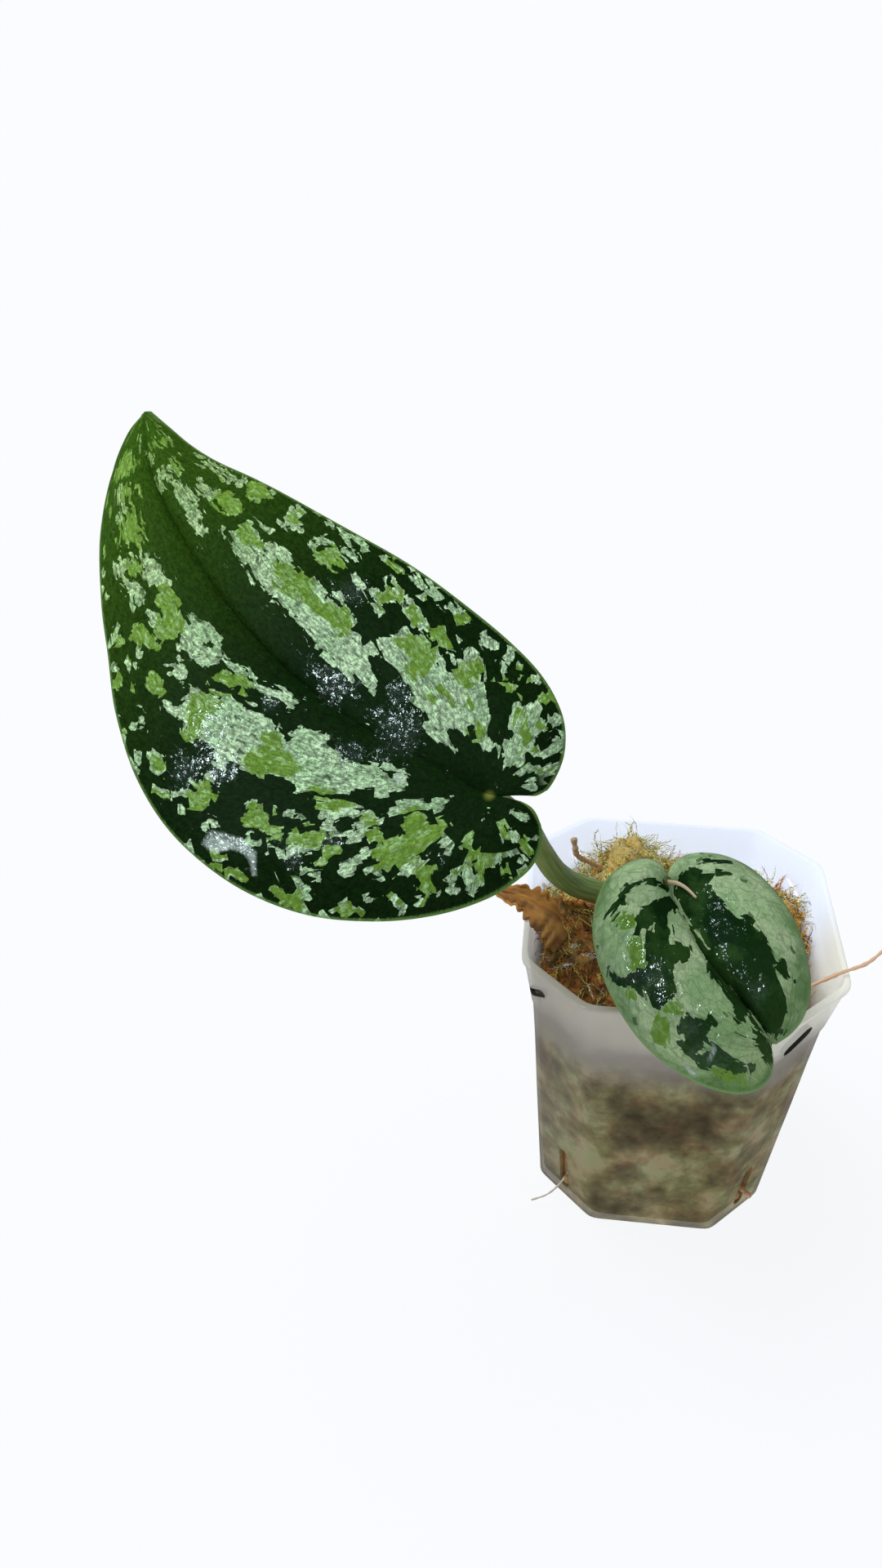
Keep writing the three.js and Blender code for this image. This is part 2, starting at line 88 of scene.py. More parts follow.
SMALL_LEAF = {
    "base": (-7.4, -27.5, 110.6), "tip": (14.4, -54.6, 93.2), "face": (-0.14, -0.61, 0.78), "thickness": 0.8,
    "bulge": 4, "roll": 5.5, "ease": 12, "groove": 1, "arch": 1, "curl": 5, "waves": 2, "wave": 0.3,
    "midrib": [(0, 0), (1.2, 6), (2, 13), (1.8, 21), (0.8, 28), (0, 34), (0, 38.5)],
    "right": [(-0.9, -2.8), (-0.6, -5.4), (1.5, -8.2), (5.5, -9.3), (10.5, -8.4), (15.5, -4.6), (19.3, 1),
              (21.8, 9), (22.7, 18), (21.8, 26.5), (18.5, 34.5), (13.5, 41), (9, 44), (5, 44.2), (2, 42.2),
              (0.5, 39)],
    "left": [(-1.9, -1.7), (-4.6, -3.3), (-8, -3.4), (-11.5, -2), (-14.7, 1), (-17.3, 6), (-18.5, 13),
             (-18.1, 20.5), (-16.3, 27), (-13.5, 32.8), (-9.5, 36.6), (-5, 38.4), (-0.7, 38.9)],
}
# How far the ribs of a blade spread along its midrib.
FAN = {"even": 0.1, "power": 3.2}

# Stem, stalks, roots and the twig: a path with the radius at each end.
STEM = {"path": [(-5, 10, 40), (-8, 9, 56), (-12, 6, 70), (-12, 3, 88)], "radius": 3.1, "tip": 1.7,
        "nodes": [0.3, 0.6, 0.82], "swell": 0.2}
LARGE_PETIOLE = {
    "path": [(-12, 6, 76), (-19, 3.4, 82.4), (-25.7, 0.4, 86.7), (-30.6, -2.8, 92.5), (-34.5, -8, 102),
             (-38, -19, 116.5), (-41.5, -37, 133), (-43.6, -54, 146.5)],
    "radius": 3.1, "tip": 1.9, "inset": 2.5,
}
SMALL_PETIOLE = {"path": [(-12, 3.4, 82), (-9, -3, 87.5), (-7, -12, 94.5), (-6.8, -20, 101)],
                 "radius": 2, "tip": 1.2, "inset": 2}
ROOTS = {
    "root_over_rim": {
        "path": [(-11, 4, 70), (-2, -8, 71), (10, -20, 74), (20, -26, 79), (28, -23.5, 81.4), (35, -20, 83),
                 (41, -17.4, 84.2), (47, -13, 87.3)], "radius": 1, "tip": 0.6, "lump": 0.62},
    "root_foot_left": {
        "path": [(-8, 9, 56), (-16, 2, 44), (-20, -8, 26), (-20.5, -19, 12), (-23, -22.4, 6.5),
                 (-26.5, -25.4, 4), (-31, -26.5, 2)], "radius": 0.9, "tip": 0.5},
    "root_foot_right": {
        "path": [(-6, 9.5, 48), (4, 2, 38), (14, -8, 24), (19, -16, 14), (21.5, -21, 10), (25.2, -24.6, 9.4)],
        "radius": 1, "tip": 1},
}
TWIG = {"path": [(-26.6, 22.6, 85), (-25.4, 21.6, 80.5), (-22, 23, 77.5), (-15, 24, 74)],
        "radius": 1, "tip": 0.8}
SHEATH = {"path": [(-26, -7, 79), (-32, -6, 83.6), (-38.5, -4, 85.6), (-44.5, -2, 84.8)],
          "width": 6.6, "thickness": 0.8, "cup": 3, "up": (0, -0.3, 1)}
SCALE = {"start": (-0.12, 0.2), "end": (-0.22, 0.5), "width": 0.9, "thickness": 0.6, "raised": 0.1}
# The least gap from one piece to its neighbour.
CLEARANCE = 0.35

# The leaves' marks, as outlines (across, along) in the blade's own plane.
LARGE_SILVER = [
    [(-8.2, 74), (-8, 79), (-6.8, 85), (-6, 86.6), (-4.2, 86.4), (-3.9, 82), (-4.2, 76.6), (-6, 76.4),
     (-6.8, 73.8)],
    [(-7.9, 87.2), (-6.9, 90.6), (-4.6, 91.3), (-2.2, 90.8), (-2, 88.8), (-3.1, 87.9), (-4, 86.2),
     (-4.6, 88.6), (-6.2, 88), (-6.8, 87)],
    [(-3.1, 78.6), (-2.8, 82.4), (-1.4, 84.6), (-0.3, 82.6), (0, 79), (-1.5, 78)],
    [(2, 88.8), (3, 88.4), (4, 83.6), (5.2, 79.6), (4.2, 77.4), (3, 77.8), (2.6, 83)],
    [(-4.2, 71.6), (-3.2, 72), (-2.6, 70.4), (0.8, 69.6), (1.4, 66.6), (2.3, 65), (0.6, 65.4), (-0.4, 63.6),
     (-0.9, 61), (-1.1, 58.6), (-0.4, 59), (-0.3, 62.6), (0.8, 63.4), (2.6, 60), (2.4, 57.6), (1.6, 56),
     (1.9, 51.8), (3, 51), (2.2, 47.2), (3.6, 46.4), (2.8, 42.4), (2.2, 38), (1.6, 33.2), (0, 33),
     (-0.4, 28.4), (-3.4, 27.6), (-4.2, 28.4), (-4.6, 35), (-5, 39), (-6, 41.6), (-4.8, 45.4), (-5, 50),
     (-4.6, 53.4), (-6.4, 55.2), (-5.8, 59), (-4.9, 62), (-5.2, 64.8)],
    [(4.5, 65.4), (6, 66.8), (7.6, 68), (8.6, 69.2), (9.4, 66), (9.2, 64.6), (8, 64), (6.6, 64.2),
     (5.1, 62.2), (4.6, 63.8)],
    [(6.1, 62.8), (7.1, 62.6), (6.8, 61.3), (6.2, 61.7)],
    [(5.9, 56.6), (6.4, 58.2), (7.4, 58.8), (9.2, 58), (9.8, 56.4), (9, 55.4), (7.6, 56)],
    [(8.6, 54), (10.4, 55.2), (11.4, 53.8), (11.9, 52), (11.2, 49.6), (9.8, 49.6), (8.8, 50.4)],
    [(11.8, 61), (12.6, 59), (13.2, 56.6), (13.9, 53), (14.1, 51.4), (13, 50.2), (12.4, 52.4), (11.8, 55),
     (11.6, 58)],
    [(8.6, 48.2), (8.8, 45.4), (7.6, 45.2), (7.3, 46.4), (8.1, 47)],
    [(6.3, 38), (6.6, 40.2), (8, 40.4), (8.2, 43), (9.9, 43), (10.1, 41.2), (11.6, 41.4), (12, 43.2),
     (12.8, 43), (13.3, 41), (13.2, 38.6), (12.2, 38), (10.9, 37), (9.8, 38)],
    [(10.2, 30.8), (10.2, 35), (11, 36.2), (11.6, 34.6), (12.4, 36.4), (12.9, 34), (12.2, 31.6)],
    [(13.6, 46.4), (13.8, 48), (14.6, 48.4), (15, 46.8), (14.4, 45.8)],
    [(15.7, 40.6), (16.4, 41.4), (16.2, 39), (15.6, 39.4)],
    [(4, 33.8), (4.8, 33.6), (6, 32.4), (8.2, 33), (8.5, 30.4), (10, 30), (10.2, 27), (8.8, 24.6),
     (8.4, 22.6), (9.4, 21.8), (10.4, 20.6), (12.6, 20.4), (14.6, 19), (13.6, 17), (12.4, 15.8), (12, 13.6),
     (10.4, 11.6), (8.8, 9.6), (6.6, 8.2), (6.6, 10.4), (5, 10.6), (3.2, 11.2), (2.8, 13.4), (1.4, 13.2),
     (0.4, 10), (0, 13.6), (0.2, 17), (1, 19.4), (0.3, 22.4), (1.7, 25.2), (2.4, 28.6), (3.1, 31.4)],
    [(10.2, 31), (12, 30.6), (12, 29), (10.4, 28.6)],
    [(13.4, 27.4), (14.4, 27), (14.8, 23.8), (13.6, 23.8)],
    [(10.3, 23.8), (11.6, 23.8), (11.7, 21.2), (10.4, 21.2)],
    [(13, 20.8), (14.9, 22.4), (15, 19.4), (13.4, 19.2)],
    [(15.7, 37.8), (17, 36.8), (17.2, 33.6), (16.2, 33.8)],
    [(15.6, 32.4), (18.6, 32.6), (18.6, 28.8), (16.4, 29.2)],
    [(16.4, 22.6), (19.2, 23), (19.3, 19.4), (17.4, 19.8), (16.4, 20.6)],
    [(16.5, 17.6), (17.2, 17), (16.8, 14.8), (16.2, 15.2)],
    [(17.8, 18.2), (18.6, 17.8), (18.5, 14.6), (17.9, 15)],
    [(4.8, 1.6), (6.2, 3.6), (7, 5.3), (8.4, 5), (9.6, 5.4), (8.6, 6.6), (9.8, 7.2), (12, 7.4), (13.3, 9.1),
     (14.3, 8.8), (14.2, 7.6), (16.4, 7.6), (16.5, 6.2), (15.4, 5.5), (14, 5.2), (15.2, 4.2), (14.2, 2.6),
     (12.6, 1.6), (11.4, 0.1), (10.2, 0.2), (9.6, 0.6), (8.4, -0.7), (6.4, -0.8), (5.8, 0.9)],
    [(5, 6.6), (5.6, 8.4), (6.8, 8), (6.2, 6), (5.4, 5.8)],
    [(13, 0.2), (14.4, 1.4), (15.6, 1.2), (16.4, 0.4), (15.4, -0.4), (13.8, -0.3)],
    [(16.6, 3.4), (17.4, 4.2), (17.8, 3.2), (17.2, 2.8)],
    [(19, 10.4), (19.4, 12), (20.4, 11.6), (20.2, 9.8), (19.4, 9.6)],
    [(5.8, -2.4), (7, -2.3), (8, -2.8), (7.8, -3.8), (6.2, -3.8)],
    [(7.8, -1.6), (8.8, -1.3), (10, -1.9), (12.8, -1.6), (12.2, -2.6), (10.8, -2.8), (10.4, -3.6),
     (9.2, -3.2), (8.4, -2.4)],
    [(-16, 92.8), (-15, 95.4), (-13.2, 95), (-12.8, 93), (-14, 91.6), (-15.4, 91.4)],
    [(-17.4, 88.4), (-17, 90.6), (-15.4, 91.6), (-14, 89.6), (-14.2, 88.6)],
    [(-25.4, 80.4), (-24.6, 83), (-23.2, 83.4), (-21.6, 82.4), (-20.2, 81), (-20.8, 79), (-23, 79.8)],
    [(-25.6, 79), (-24.2, 78.6), (-22.8, 76.2), (-22.4, 73.8), (-23, 70.8), (-26, 70.8), (-26, 72.6),
     (-25, 74.4)],
    [(-19.8, 81.2), (-18, 80.4), (-17.6, 78), (-16.6, 77.6), (-16.6, 75), (-17, 72.4), (-17.6, 70.4),
     (-19.4, 70.8), (-21, 72), (-22.2, 73), (-21.4, 75.8), (-20, 76.4)],
    [(-25.4, 70), (-23.6, 69.8), (-23.2, 66.6), (-25.6, 65.8), (-25.2, 68)],
    [(-31.4, 65), (-30, 64.8), (-29.4, 62.8), (-30.8, 62.6)],
    [(-33, 63.6), (-32.3, 63.8), (-32.2, 61.4), (-32.9, 61.6)],
    [(-30, 58.4), (-28.6, 58.2), (-27, 56.4), (-26.4, 54), (-27.8, 55), (-29.6, 55.8)],
    [(-29.4, 53), (-28.2, 53.4), (-27, 50.2), (-28, 51.2)],
    [(-20, 64.6), (-18.8, 63), (-18, 59.6), (-17, 57), (-16.8, 54.4), (-18.4, 54), (-19, 51.6), (-21, 50.6),
     (-23.4, 52), (-23, 54.4), (-24.4, 56.6), (-25, 58.6), (-23.8, 60.4), (-22, 61.4), (-20.4, 61.6)],
    [(-20.6, 50.6), (-19, 51), (-17.2, 46), (-18, 44.8), (-19.4, 47)],
    [(-19.2, 43.6), (-17.6, 44.6), (-16.4, 42), (-15, 39.6), (-14.6, 37.4), (-13.6, 35.2), (-15.6, 35.2),
     (-16.6, 36.4), (-17.4, 39), (-18.6, 41)],
    [(-34, 52.8), (-32.8, 53.4), (-31.6, 51.4), (-29, 51.4), (-26.8, 49.6), (-24.6, 48.2), (-23.6, 45.2),
     (-22.4, 42), (-20.8, 39.4), (-19.4, 36.6), (-19.8, 35.2), (-20.4, 33), (-19.8, 32), (-17.6, 31.6),
     (-16, 30.2), (-15, 28.4), (-14.3, 27), (-15.4, 26), (-14.8, 23.4), (-15.6, 22), (-13.8, 20.4),
     (-11.8, 18.2), (-10.8, 16.6), (-9.9, 15.4), (-10.2, 14), (-8.8, 13), (-9, 11.6), (-10.2, 10.8),
     (-11.6, 11.6), (-13.2, 12.2), (-14.6, 13.6), (-16.6, 15.2), (-18.4, 17), (-19.8, 19.4), (-21.6, 21),
     (-24, 22), (-25.8, 23), (-24.4, 24), (-25.4, 26), (-27, 28), (-28.6, 30), (-28, 32.4), (-30, 33.4),
     (-30.8, 34.8), (-32.6, 36), (-33, 38.4), (-31.6, 40.4), (-32.2, 42.4), (-33.9, 44.2), (-34, 46),
     (-32.6, 47.4), (-33.2, 50)],
    [(-25.9, 15.6), (-24.2, 16.4), (-22, 17), (-20.6, 15.4), (-19, 13.6), (-19.2, 12.2), (-17, 12.2),
     (-16.6, 10.2), (-15, 9.8), (-17, 9), (-20, 9.2), (-23, 9.4), (-23.4, 10.2), (-21, 11.2), (-23.2, 12),
     (-25, 13.6), (-26.4, 14.4)],
    [(-33.2, 15.4), (-32, 16.4), (-30, 14.8), (-28.4, 13), (-29.4, 12), (-31.6, 13.4)],
    [(-34, 11.4), (-32.4, 12.2), (-31, 11), (-29.8, 9.8), (-31.6, 8.4), (-33, 9.8)],
    [(-33.2, 27.4), (-31.8, 27.2), (-30.2, 23.6), (-31.2, 24)],
    [(-28.6, 21), (-27.2, 21), (-26.4, 19), (-27.6, 19.6)],
    [(-38, 23), (-36, 23.2), (-34, 20.8), (-35.4, 20.6), (-36.8, 21.6)],
    [(-36.2, 19.2), (-34.8, 19), (-34.2, 17.4), (-35.4, 17.6)],
    [(-40.4, 38.4), (-38.4, 39), (-37, 38), (-35.4, 38.4), (-34, 36), (-34, 34.6), (-35.4, 34.6),
     (-36, 36.6), (-38, 37)],
    [(-43.6, 39), (-42.4, 39.4), (-41.4, 37), (-42, 36), (-43, 37)],
    [(-43.8, 46.6), (-42, 48.6), (-40.2, 48.6), (-39.8, 46), (-41, 44.4), (-43, 45)],
    [(-42.2, 60), (-41.2, 60), (-41, 57.4), (-42, 57.2)],
    [(-41.6, 55.6), (-39.4, 55), (-38, 53.4), (-38.4, 52.2), (-40.4, 53)],
    [(-37.2, 67.8), (-36, 68), (-35.8, 65.4), (-37, 65.6)],
    [(-34.8, 71.4), (-33, 73.6), (-31.4, 73), (-31.4, 70.6), (-33.4, 70.4)],
    [(-38.6, 56.4), (-37.6, 56.6), (-37.4, 55), (-38.2, 55)],
    [(-45.6, 52), (-44.9, 52.4), (-44.7, 48), (-45.8, 47.6)],
    [(-41.8, 31), (-40, 31.6), (-38.4, 29), (-39.2, 27.6), (-41, 28.8)],
    [(-37, 10.8), (-35, 11.2), (-33.2, 9), (-35, 9)],
    [(-36, 7.8), (-34.2, 8), (-34, 7), (-35.8, 7)],
    [(-16, 9.4), (-14.4, 10), (-11.4, 8.4), (-8.8, 6.8), (-9.6, 6), (-7.4, 5.2), (-5.4, 4), (-6.6, 4),
     (-8, 3.8), (-10, 4.4), (-11, 6.8), (-14, 7.2), (-15.4, 7.6)],
    [(-24.8, 4.4), (-23, 5), (-22, 3.6), (-22.4, 1.2), (-24, 1.8)],
    [(-25, 7), (-23, 8.2), (-20.8, 8), (-21, 6), (-23.4, 5.8)],
    [(-28, 7.4), (-26.6, 8.2), (-25.2, 7), (-26.4, 6), (-27.6, 6.2)],
    [(-20.4, 0.8), (-18, 1.8), (-16, 0.2), (-13, -0.6), (-10, -0.2), (-10, -2.6), (-11.4, -3.2),
     (-12.6, -1.8), (-15.4, -1.4), (-18, -1.8), (-19.4, -0.4)],
    [(-28.8, 1), (-28, 2), (-26.8, 1.4), (-26, 0), (-27.8, 0)],
    [(-33.6, 4.4), (-32.4, 5.8), (-31.2, 4.6), (-32.4, 4)],
    [(-25.6, -2), (-24.4, -1.6), (-23.6, -3.6), (-25, -3.8)],
    [(-9.8, -3.6), (-8.6, -3.6), (-8.4, -4.4), (-9.6, -4.4)],
    [(-11, -6), (-9.2, -5.2), (-8.8, -6.6), (-10.6, -7)],
    [(-12.4, -7.2), (-10.6, -7), (-11, -8.6), (-10.6, -10.2), (-12.8, -10), (-13, -8.6)],
    [(-7.2, -5.6), (-5, -4.6), (-3.2, -3.8), (-3.6, -2.6), (-1.8, -2), (-1.8, -2.8), (-2.8, -3.2),
     (-2.8, -4.6), (-4.6, -5.4), (-6.6, -5.9)],
    [(-4.4, -7.2), (-3, -6.2), (-2.8, -6.8), (-3.8, -7.6), (-4.2, -8.4), (-5.4, -9.2), (-7.2, -9.2),
     (-6, -8.4), (-4.8, -8)],
    [(-2.2, -8.6), (-1.6, -7.4), (-0.7, -7.6), (-0.9, -9), (-1.8, -9.2)],
    [(0.6, -6.6), (1.2, -5.4), (1.8, -6), (1.6, -6.8)],
    [(1.4, -7.4), (2, -6.4), (2.6, -6.8), (2.6, -7.8)],
    [(-4.2, -11.2), (-3, -10.8), (-2.9, -11.8), (-3.8, -12)],
    [(-15, -5.6), (-13, -5.8), (-12.8, -6.5), (-14.4, -6.4)],
    [(-18.4, -6.4), (-17, -6.6), (-17.2, -7.2), (-18.2, -7)],
    [(-16, -7.8), (-14.6, -7.8), (-14.4, -8.4), (-15.8, -8.4)],
    [(-5.5, 97), (-4.8, 97), (-4.9, 94), (-5.6, 94.4)],
    [(-7.3, 29.4), (-6.8, 29.2), (-6.3, 24.6), (-6.9, 24.6)],
]
LARGE_LIME = [
    [(-4.4, 90.6), (-2.3, 90.6), (-2.1, 89), (-3.6, 87.6), (-4.3, 88.8)],
    [(-2.7, 78.4), (-0.2, 79), (1.8, 78.6), (1.5, 74.6), (0.2, 72.3), (-1.6, 72.8), (-2.5, 75.5)],
    [(3.7, 75), (4.2, 76.8), (6, 77.2), (7.2, 74.8), (7.6, 72.6), (6.8, 72.2), (5, 72.6)],
    [(-2.8, 69.2), (0.1, 69.8), (0.4, 66.4), (-0.6, 63.6), (-1.6, 63.2), (-2.6, 65.4)],
    [(-1.9, 58.4), (0.2, 59), (1.7, 56.6), (1.9, 51.6), (0.6, 50), (0.6, 47.4), (2.4, 46), (2.8, 42.4),
     (1.3, 39.8), (-0.4, 39.2), (-1.4, 41), (-1.9, 45), (-2.2, 49), (-2.9, 52.4), (-3.3, 56)],
    [(6.8, 66.8), (8.2, 67.4), (8.6, 65.4), (7.8, 64), (6.6, 64.4)],
    [(5.6, 55.6), (6.2, 56.4), (8, 56), (9.8, 54.6), (8.6, 52.8), (8.7, 50.2), (6.2, 50.2), (5.9, 53)],
    [(8.1, 41), (9.8, 41.4), (9.7, 38), (8.2, 38)],
    [(10.1, 41), (12.3, 41.6), (12.5, 38.6), (11, 37.2), (10.1, 38.2)],
    [(10.6, 32), (11.4, 35), (12.2, 35.2), (12, 31.6)],
    [(14.3, 46), (15, 46.8), (16, 45.6), (16.6, 42.6), (15.6, 41.8), (14.8, 43)],
    [(5.6, 32.2), (7, 31.4), (8.3, 30.4), (9.7, 30), (9.8, 27), (8.8, 25.2), (7, 24.2), (4.8, 23.6),
     (3.4, 24.2), (3.2, 26), (4.6, 27.6), (5.3, 30)],
    [(3.2, 21.4), (4.6, 20.6), (4.4, 18.2), (3.4, 18.4)],
    [(5.6, 19.8), (7, 19.6), (6.8, 17.4), (5.6, 15.8), (5.4, 17.6)],
    [(8.4, 21.4), (10, 21), (12.4, 19.6), (14.6, 19.8), (13.8, 17.4), (12, 16.6), (10.2, 17), (8.8, 18.6)],
    [(6.8, 15.4), (8.2, 15.2), (7.6, 13.6), (6.8, 14)],
    [(4.6, 11), (6.4, 10.8), (6.4, 9.2), (5.4, 8.4), (4.6, 9)],
    [(10.2, 29.6), (12, 30), (13.8, 28.4), (13.6, 25), (12, 24.8), (11, 26.6), (10.1, 27)],
    [(16, 29.2), (18.6, 28.8), (19, 26.8), (16.4, 26.6)],
    [(13.9, 14.6), (15, 15), (15.4, 13), (16.6, 12.8), (18, 14), (19.2, 13.6), (19, 11.4), (17, 11.8),
     (14.6, 11.6)],
    [(10.2, 5), (12, 6.8), (13.6, 8.2), (14, 6.6), (12.6, 5), (11.8, 2.6), (11, 0.8), (10.2, 1.8),
     (10.6, 3.4)],
    [(5.8, 1), (6.4, 1.6), (8.4, 1.4), (8.2, 0.2), (6.2, 0.3)],
    [(18, 7), (18.8, 8), (19.8, 8.2), (19.6, 6), (18.4, 5.4)],
    [(8.6, -2.2), (9.8, -2.2), (9.6, -3), (8.6, -2.9)],
    [(-13.6, 98.4), (-11, 100), (-7.8, 99.4), (-8.2, 96.4), (-10, 95.4), (-12, 96.4)],
    [(-14.4, 93.6), (-12.6, 93.4), (-11, 91.4), (-11.8, 89.4), (-13.4, 91), (-14.2, 91.6)],
    [(-19.9, 85), (-19.2, 86.8), (-17.4, 88), (-14.2, 88.6), (-14.2, 85.6), (-16, 83), (-16.4, 81),
     (-17.6, 80.4), (-18.6, 82)],
    [(-21.8, 84), (-20.6, 87), (-20.2, 84.2), (-21.2, 83.4)],
    [(-23, 78.6), (-21, 80.6), (-19.8, 79.4), (-19.8, 76.6), (-22, 76.6)],
    [(-22.4, 71.6), (-19.2, 70.8), (-18.9, 66), (-20, 64.6), (-21, 62.8), (-22.4, 61), (-23.6, 60.4),
     (-24.6, 62), (-26, 62.6), (-25.8, 65.6), (-23.6, 66.6), (-23, 69)],
    [(-29.8, 68.8), (-28.4, 69), (-26.8, 67.6), (-26.4, 64), (-27.2, 62.2), (-28.4, 63.4), (-29.4, 65)],
    [(-34, 58.6), (-33, 60.2), (-30, 60.6), (-29.8, 57), (-30.4, 55.2), (-31.8, 54.8), (-33.8, 55.6)],
    [(-24.4, 50.2), (-20.4, 50.8), (-19.6, 47.6), (-18.2, 44.6), (-18.2, 42.4), (-20, 43.4), (-21.2, 44.8),
     (-22.8, 45.4), (-23.2, 48)],
    [(-32.4, 47), (-31, 49), (-28, 49.8), (-25.2, 48.6), (-24, 46), (-26, 45.2), (-29, 45.2), (-31, 44.2),
     (-33, 43), (-34, 44.4), (-34, 46)],
    [(-28, 33.6), (-26, 34.6), (-24, 34.2), (-22, 35.4), (-20.6, 34.6), (-20.4, 32.4), (-21.6, 30.4),
     (-22.6, 28), (-21.4, 25.2), (-23.6, 25.6), (-26, 27.2), (-28.4, 29.8)],
    [(-24.6, 20.8), (-22.2, 21.2), (-20.8, 19.4), (-20.2, 17), (-19.2, 15), (-20.6, 15.4), (-22, 17),
     (-23.6, 19)],
    [(-19.6, 11.6), (-18.2, 12), (-16.8, 10.8), (-17.2, 9.8), (-19.2, 9.8)],
    [(-31.4, 17.2), (-29.4, 17.6), (-27, 17), (-26, 15.4), (-24.6, 14), (-26.2, 13), (-28, 13.4),
     (-29.6, 14.8)],
    [(-31.2, 11.8), (-29, 12.2), (-27, 12), (-25.8, 10.4), (-28, 10), (-30, 10)],
    [(-35.8, 26), (-34, 26.8), (-32.2, 27), (-31.4, 25), (-30.4, 23.4), (-31.6, 22.4), (-31.2, 20.8),
     (-32.6, 19.4), (-34, 21.4), (-34, 24)],
    [(-42, 36), (-40, 37.2), (-38, 36.8), (-36, 36.6), (-35, 34.4), (-37, 33), (-40, 33.4), (-41.4, 35)],
    [(-42.2, 47), (-40.6, 47.4), (-40, 45.6), (-41.2, 44.8)],
    [(-43, 58), (-41.4, 57.4), (-41.4, 55), (-43.4, 55.4)],
    [(-39.2, 64.6), (-37.4, 66), (-36.2, 65.4), (-36.4, 63.6), (-38, 63.4)],
    [(-34.4, 70.6), (-32.4, 70.8), (-31.6, 69.6), (-32.6, 68), (-33.6, 69)],
    [(-45, 25.6), (-43.6, 26.4), (-43, 24.2), (-44.4, 23)],
    [(-43.4, 21), (-42.2, 21.4), (-41.4, 18.2), (-42.6, 17.8)],
    [(-39.6, 13.6), (-38, 12), (-37.2, 9.4), (-38.6, 9), (-39.4, 11)],
    [(-22.4, 5.4), (-20.6, 7), (-20, 9.6), (-18.4, 9.4), (-17.6, 6.6), (-18.4, 5.4), (-15.4, 5.2),
     (-15, 7.4), (-13, 7.2), (-11, 6.8), (-10, 5), (-10.2, 3), (-8.6, 1.8), (-9, 0.4), (-11, 0),
     (-13.2, -0.4), (-15, 0.2), (-17, 0.6), (-19, 1.4), (-22, 1), (-22.4, 3.2)],
    [(-19.6, -3.4), (-18, -1.8), (-16, -2), (-15.4, -3), (-17, -4), (-17.8, -5.8), (-19.8, -5.4)],
    [(-27.4, 1.2), (-25.2, 0.2), (-26.2, -0.6), (-27.4, 0)],
    [(-32.8, 5), (-31.4, 4), (-30, 2.8), (-31, 2), (-32.4, 2.2)],
    [(-9.6, -4), (-8.2, -3.2), (-6.4, -3.4), (-6, -4.4), (-7, -5.2), (-7.4, -6.6), (-8.6, -7), (-10, -6.8),
     (-9, -5.4)],
    [(-10.4, -8.6), (-9.6, -7), (-8, -7.4), (-7.8, -9), (-10, -9.2)],
    [(-2.6, -4.4), (-1.6, -4.4), (-1.8, -6.4), (-2.4, -7.8), (-3, -7), (-2.6, -5.8)],
    [(-6.4, -7), (-5, -6.6), (-4.8, -7.8), (-6.2, -8)],
    [(-1.6, -9), (-0.6, -9), (-0.4, -10.6), (-1.4, -11.4), (-1.8, -10)],
    [(-7, -11), (-5.5, -10.6), (-5.4, -12.4), (-6.2, -11.6)],
    [(-3.6, 96.6), (-2, 97.8), (-0.6, 96.8), (-0.6, 95), (-2.4, 95.2)],
]
LARGE_DARK = [
    [(1.6, 24.4), (2.3, 24.4), (2.2, 22.2), (1.5, 22.4)],
    [(-20.4, 56.4), (-19.6, 55.8), (-19.6, 54.8), (-20.4, 55.4)],
    [(-24, 13), (-23, 13.8), (-21.4, 13.2), (-21.2, 12), (-22.8, 12)],
]
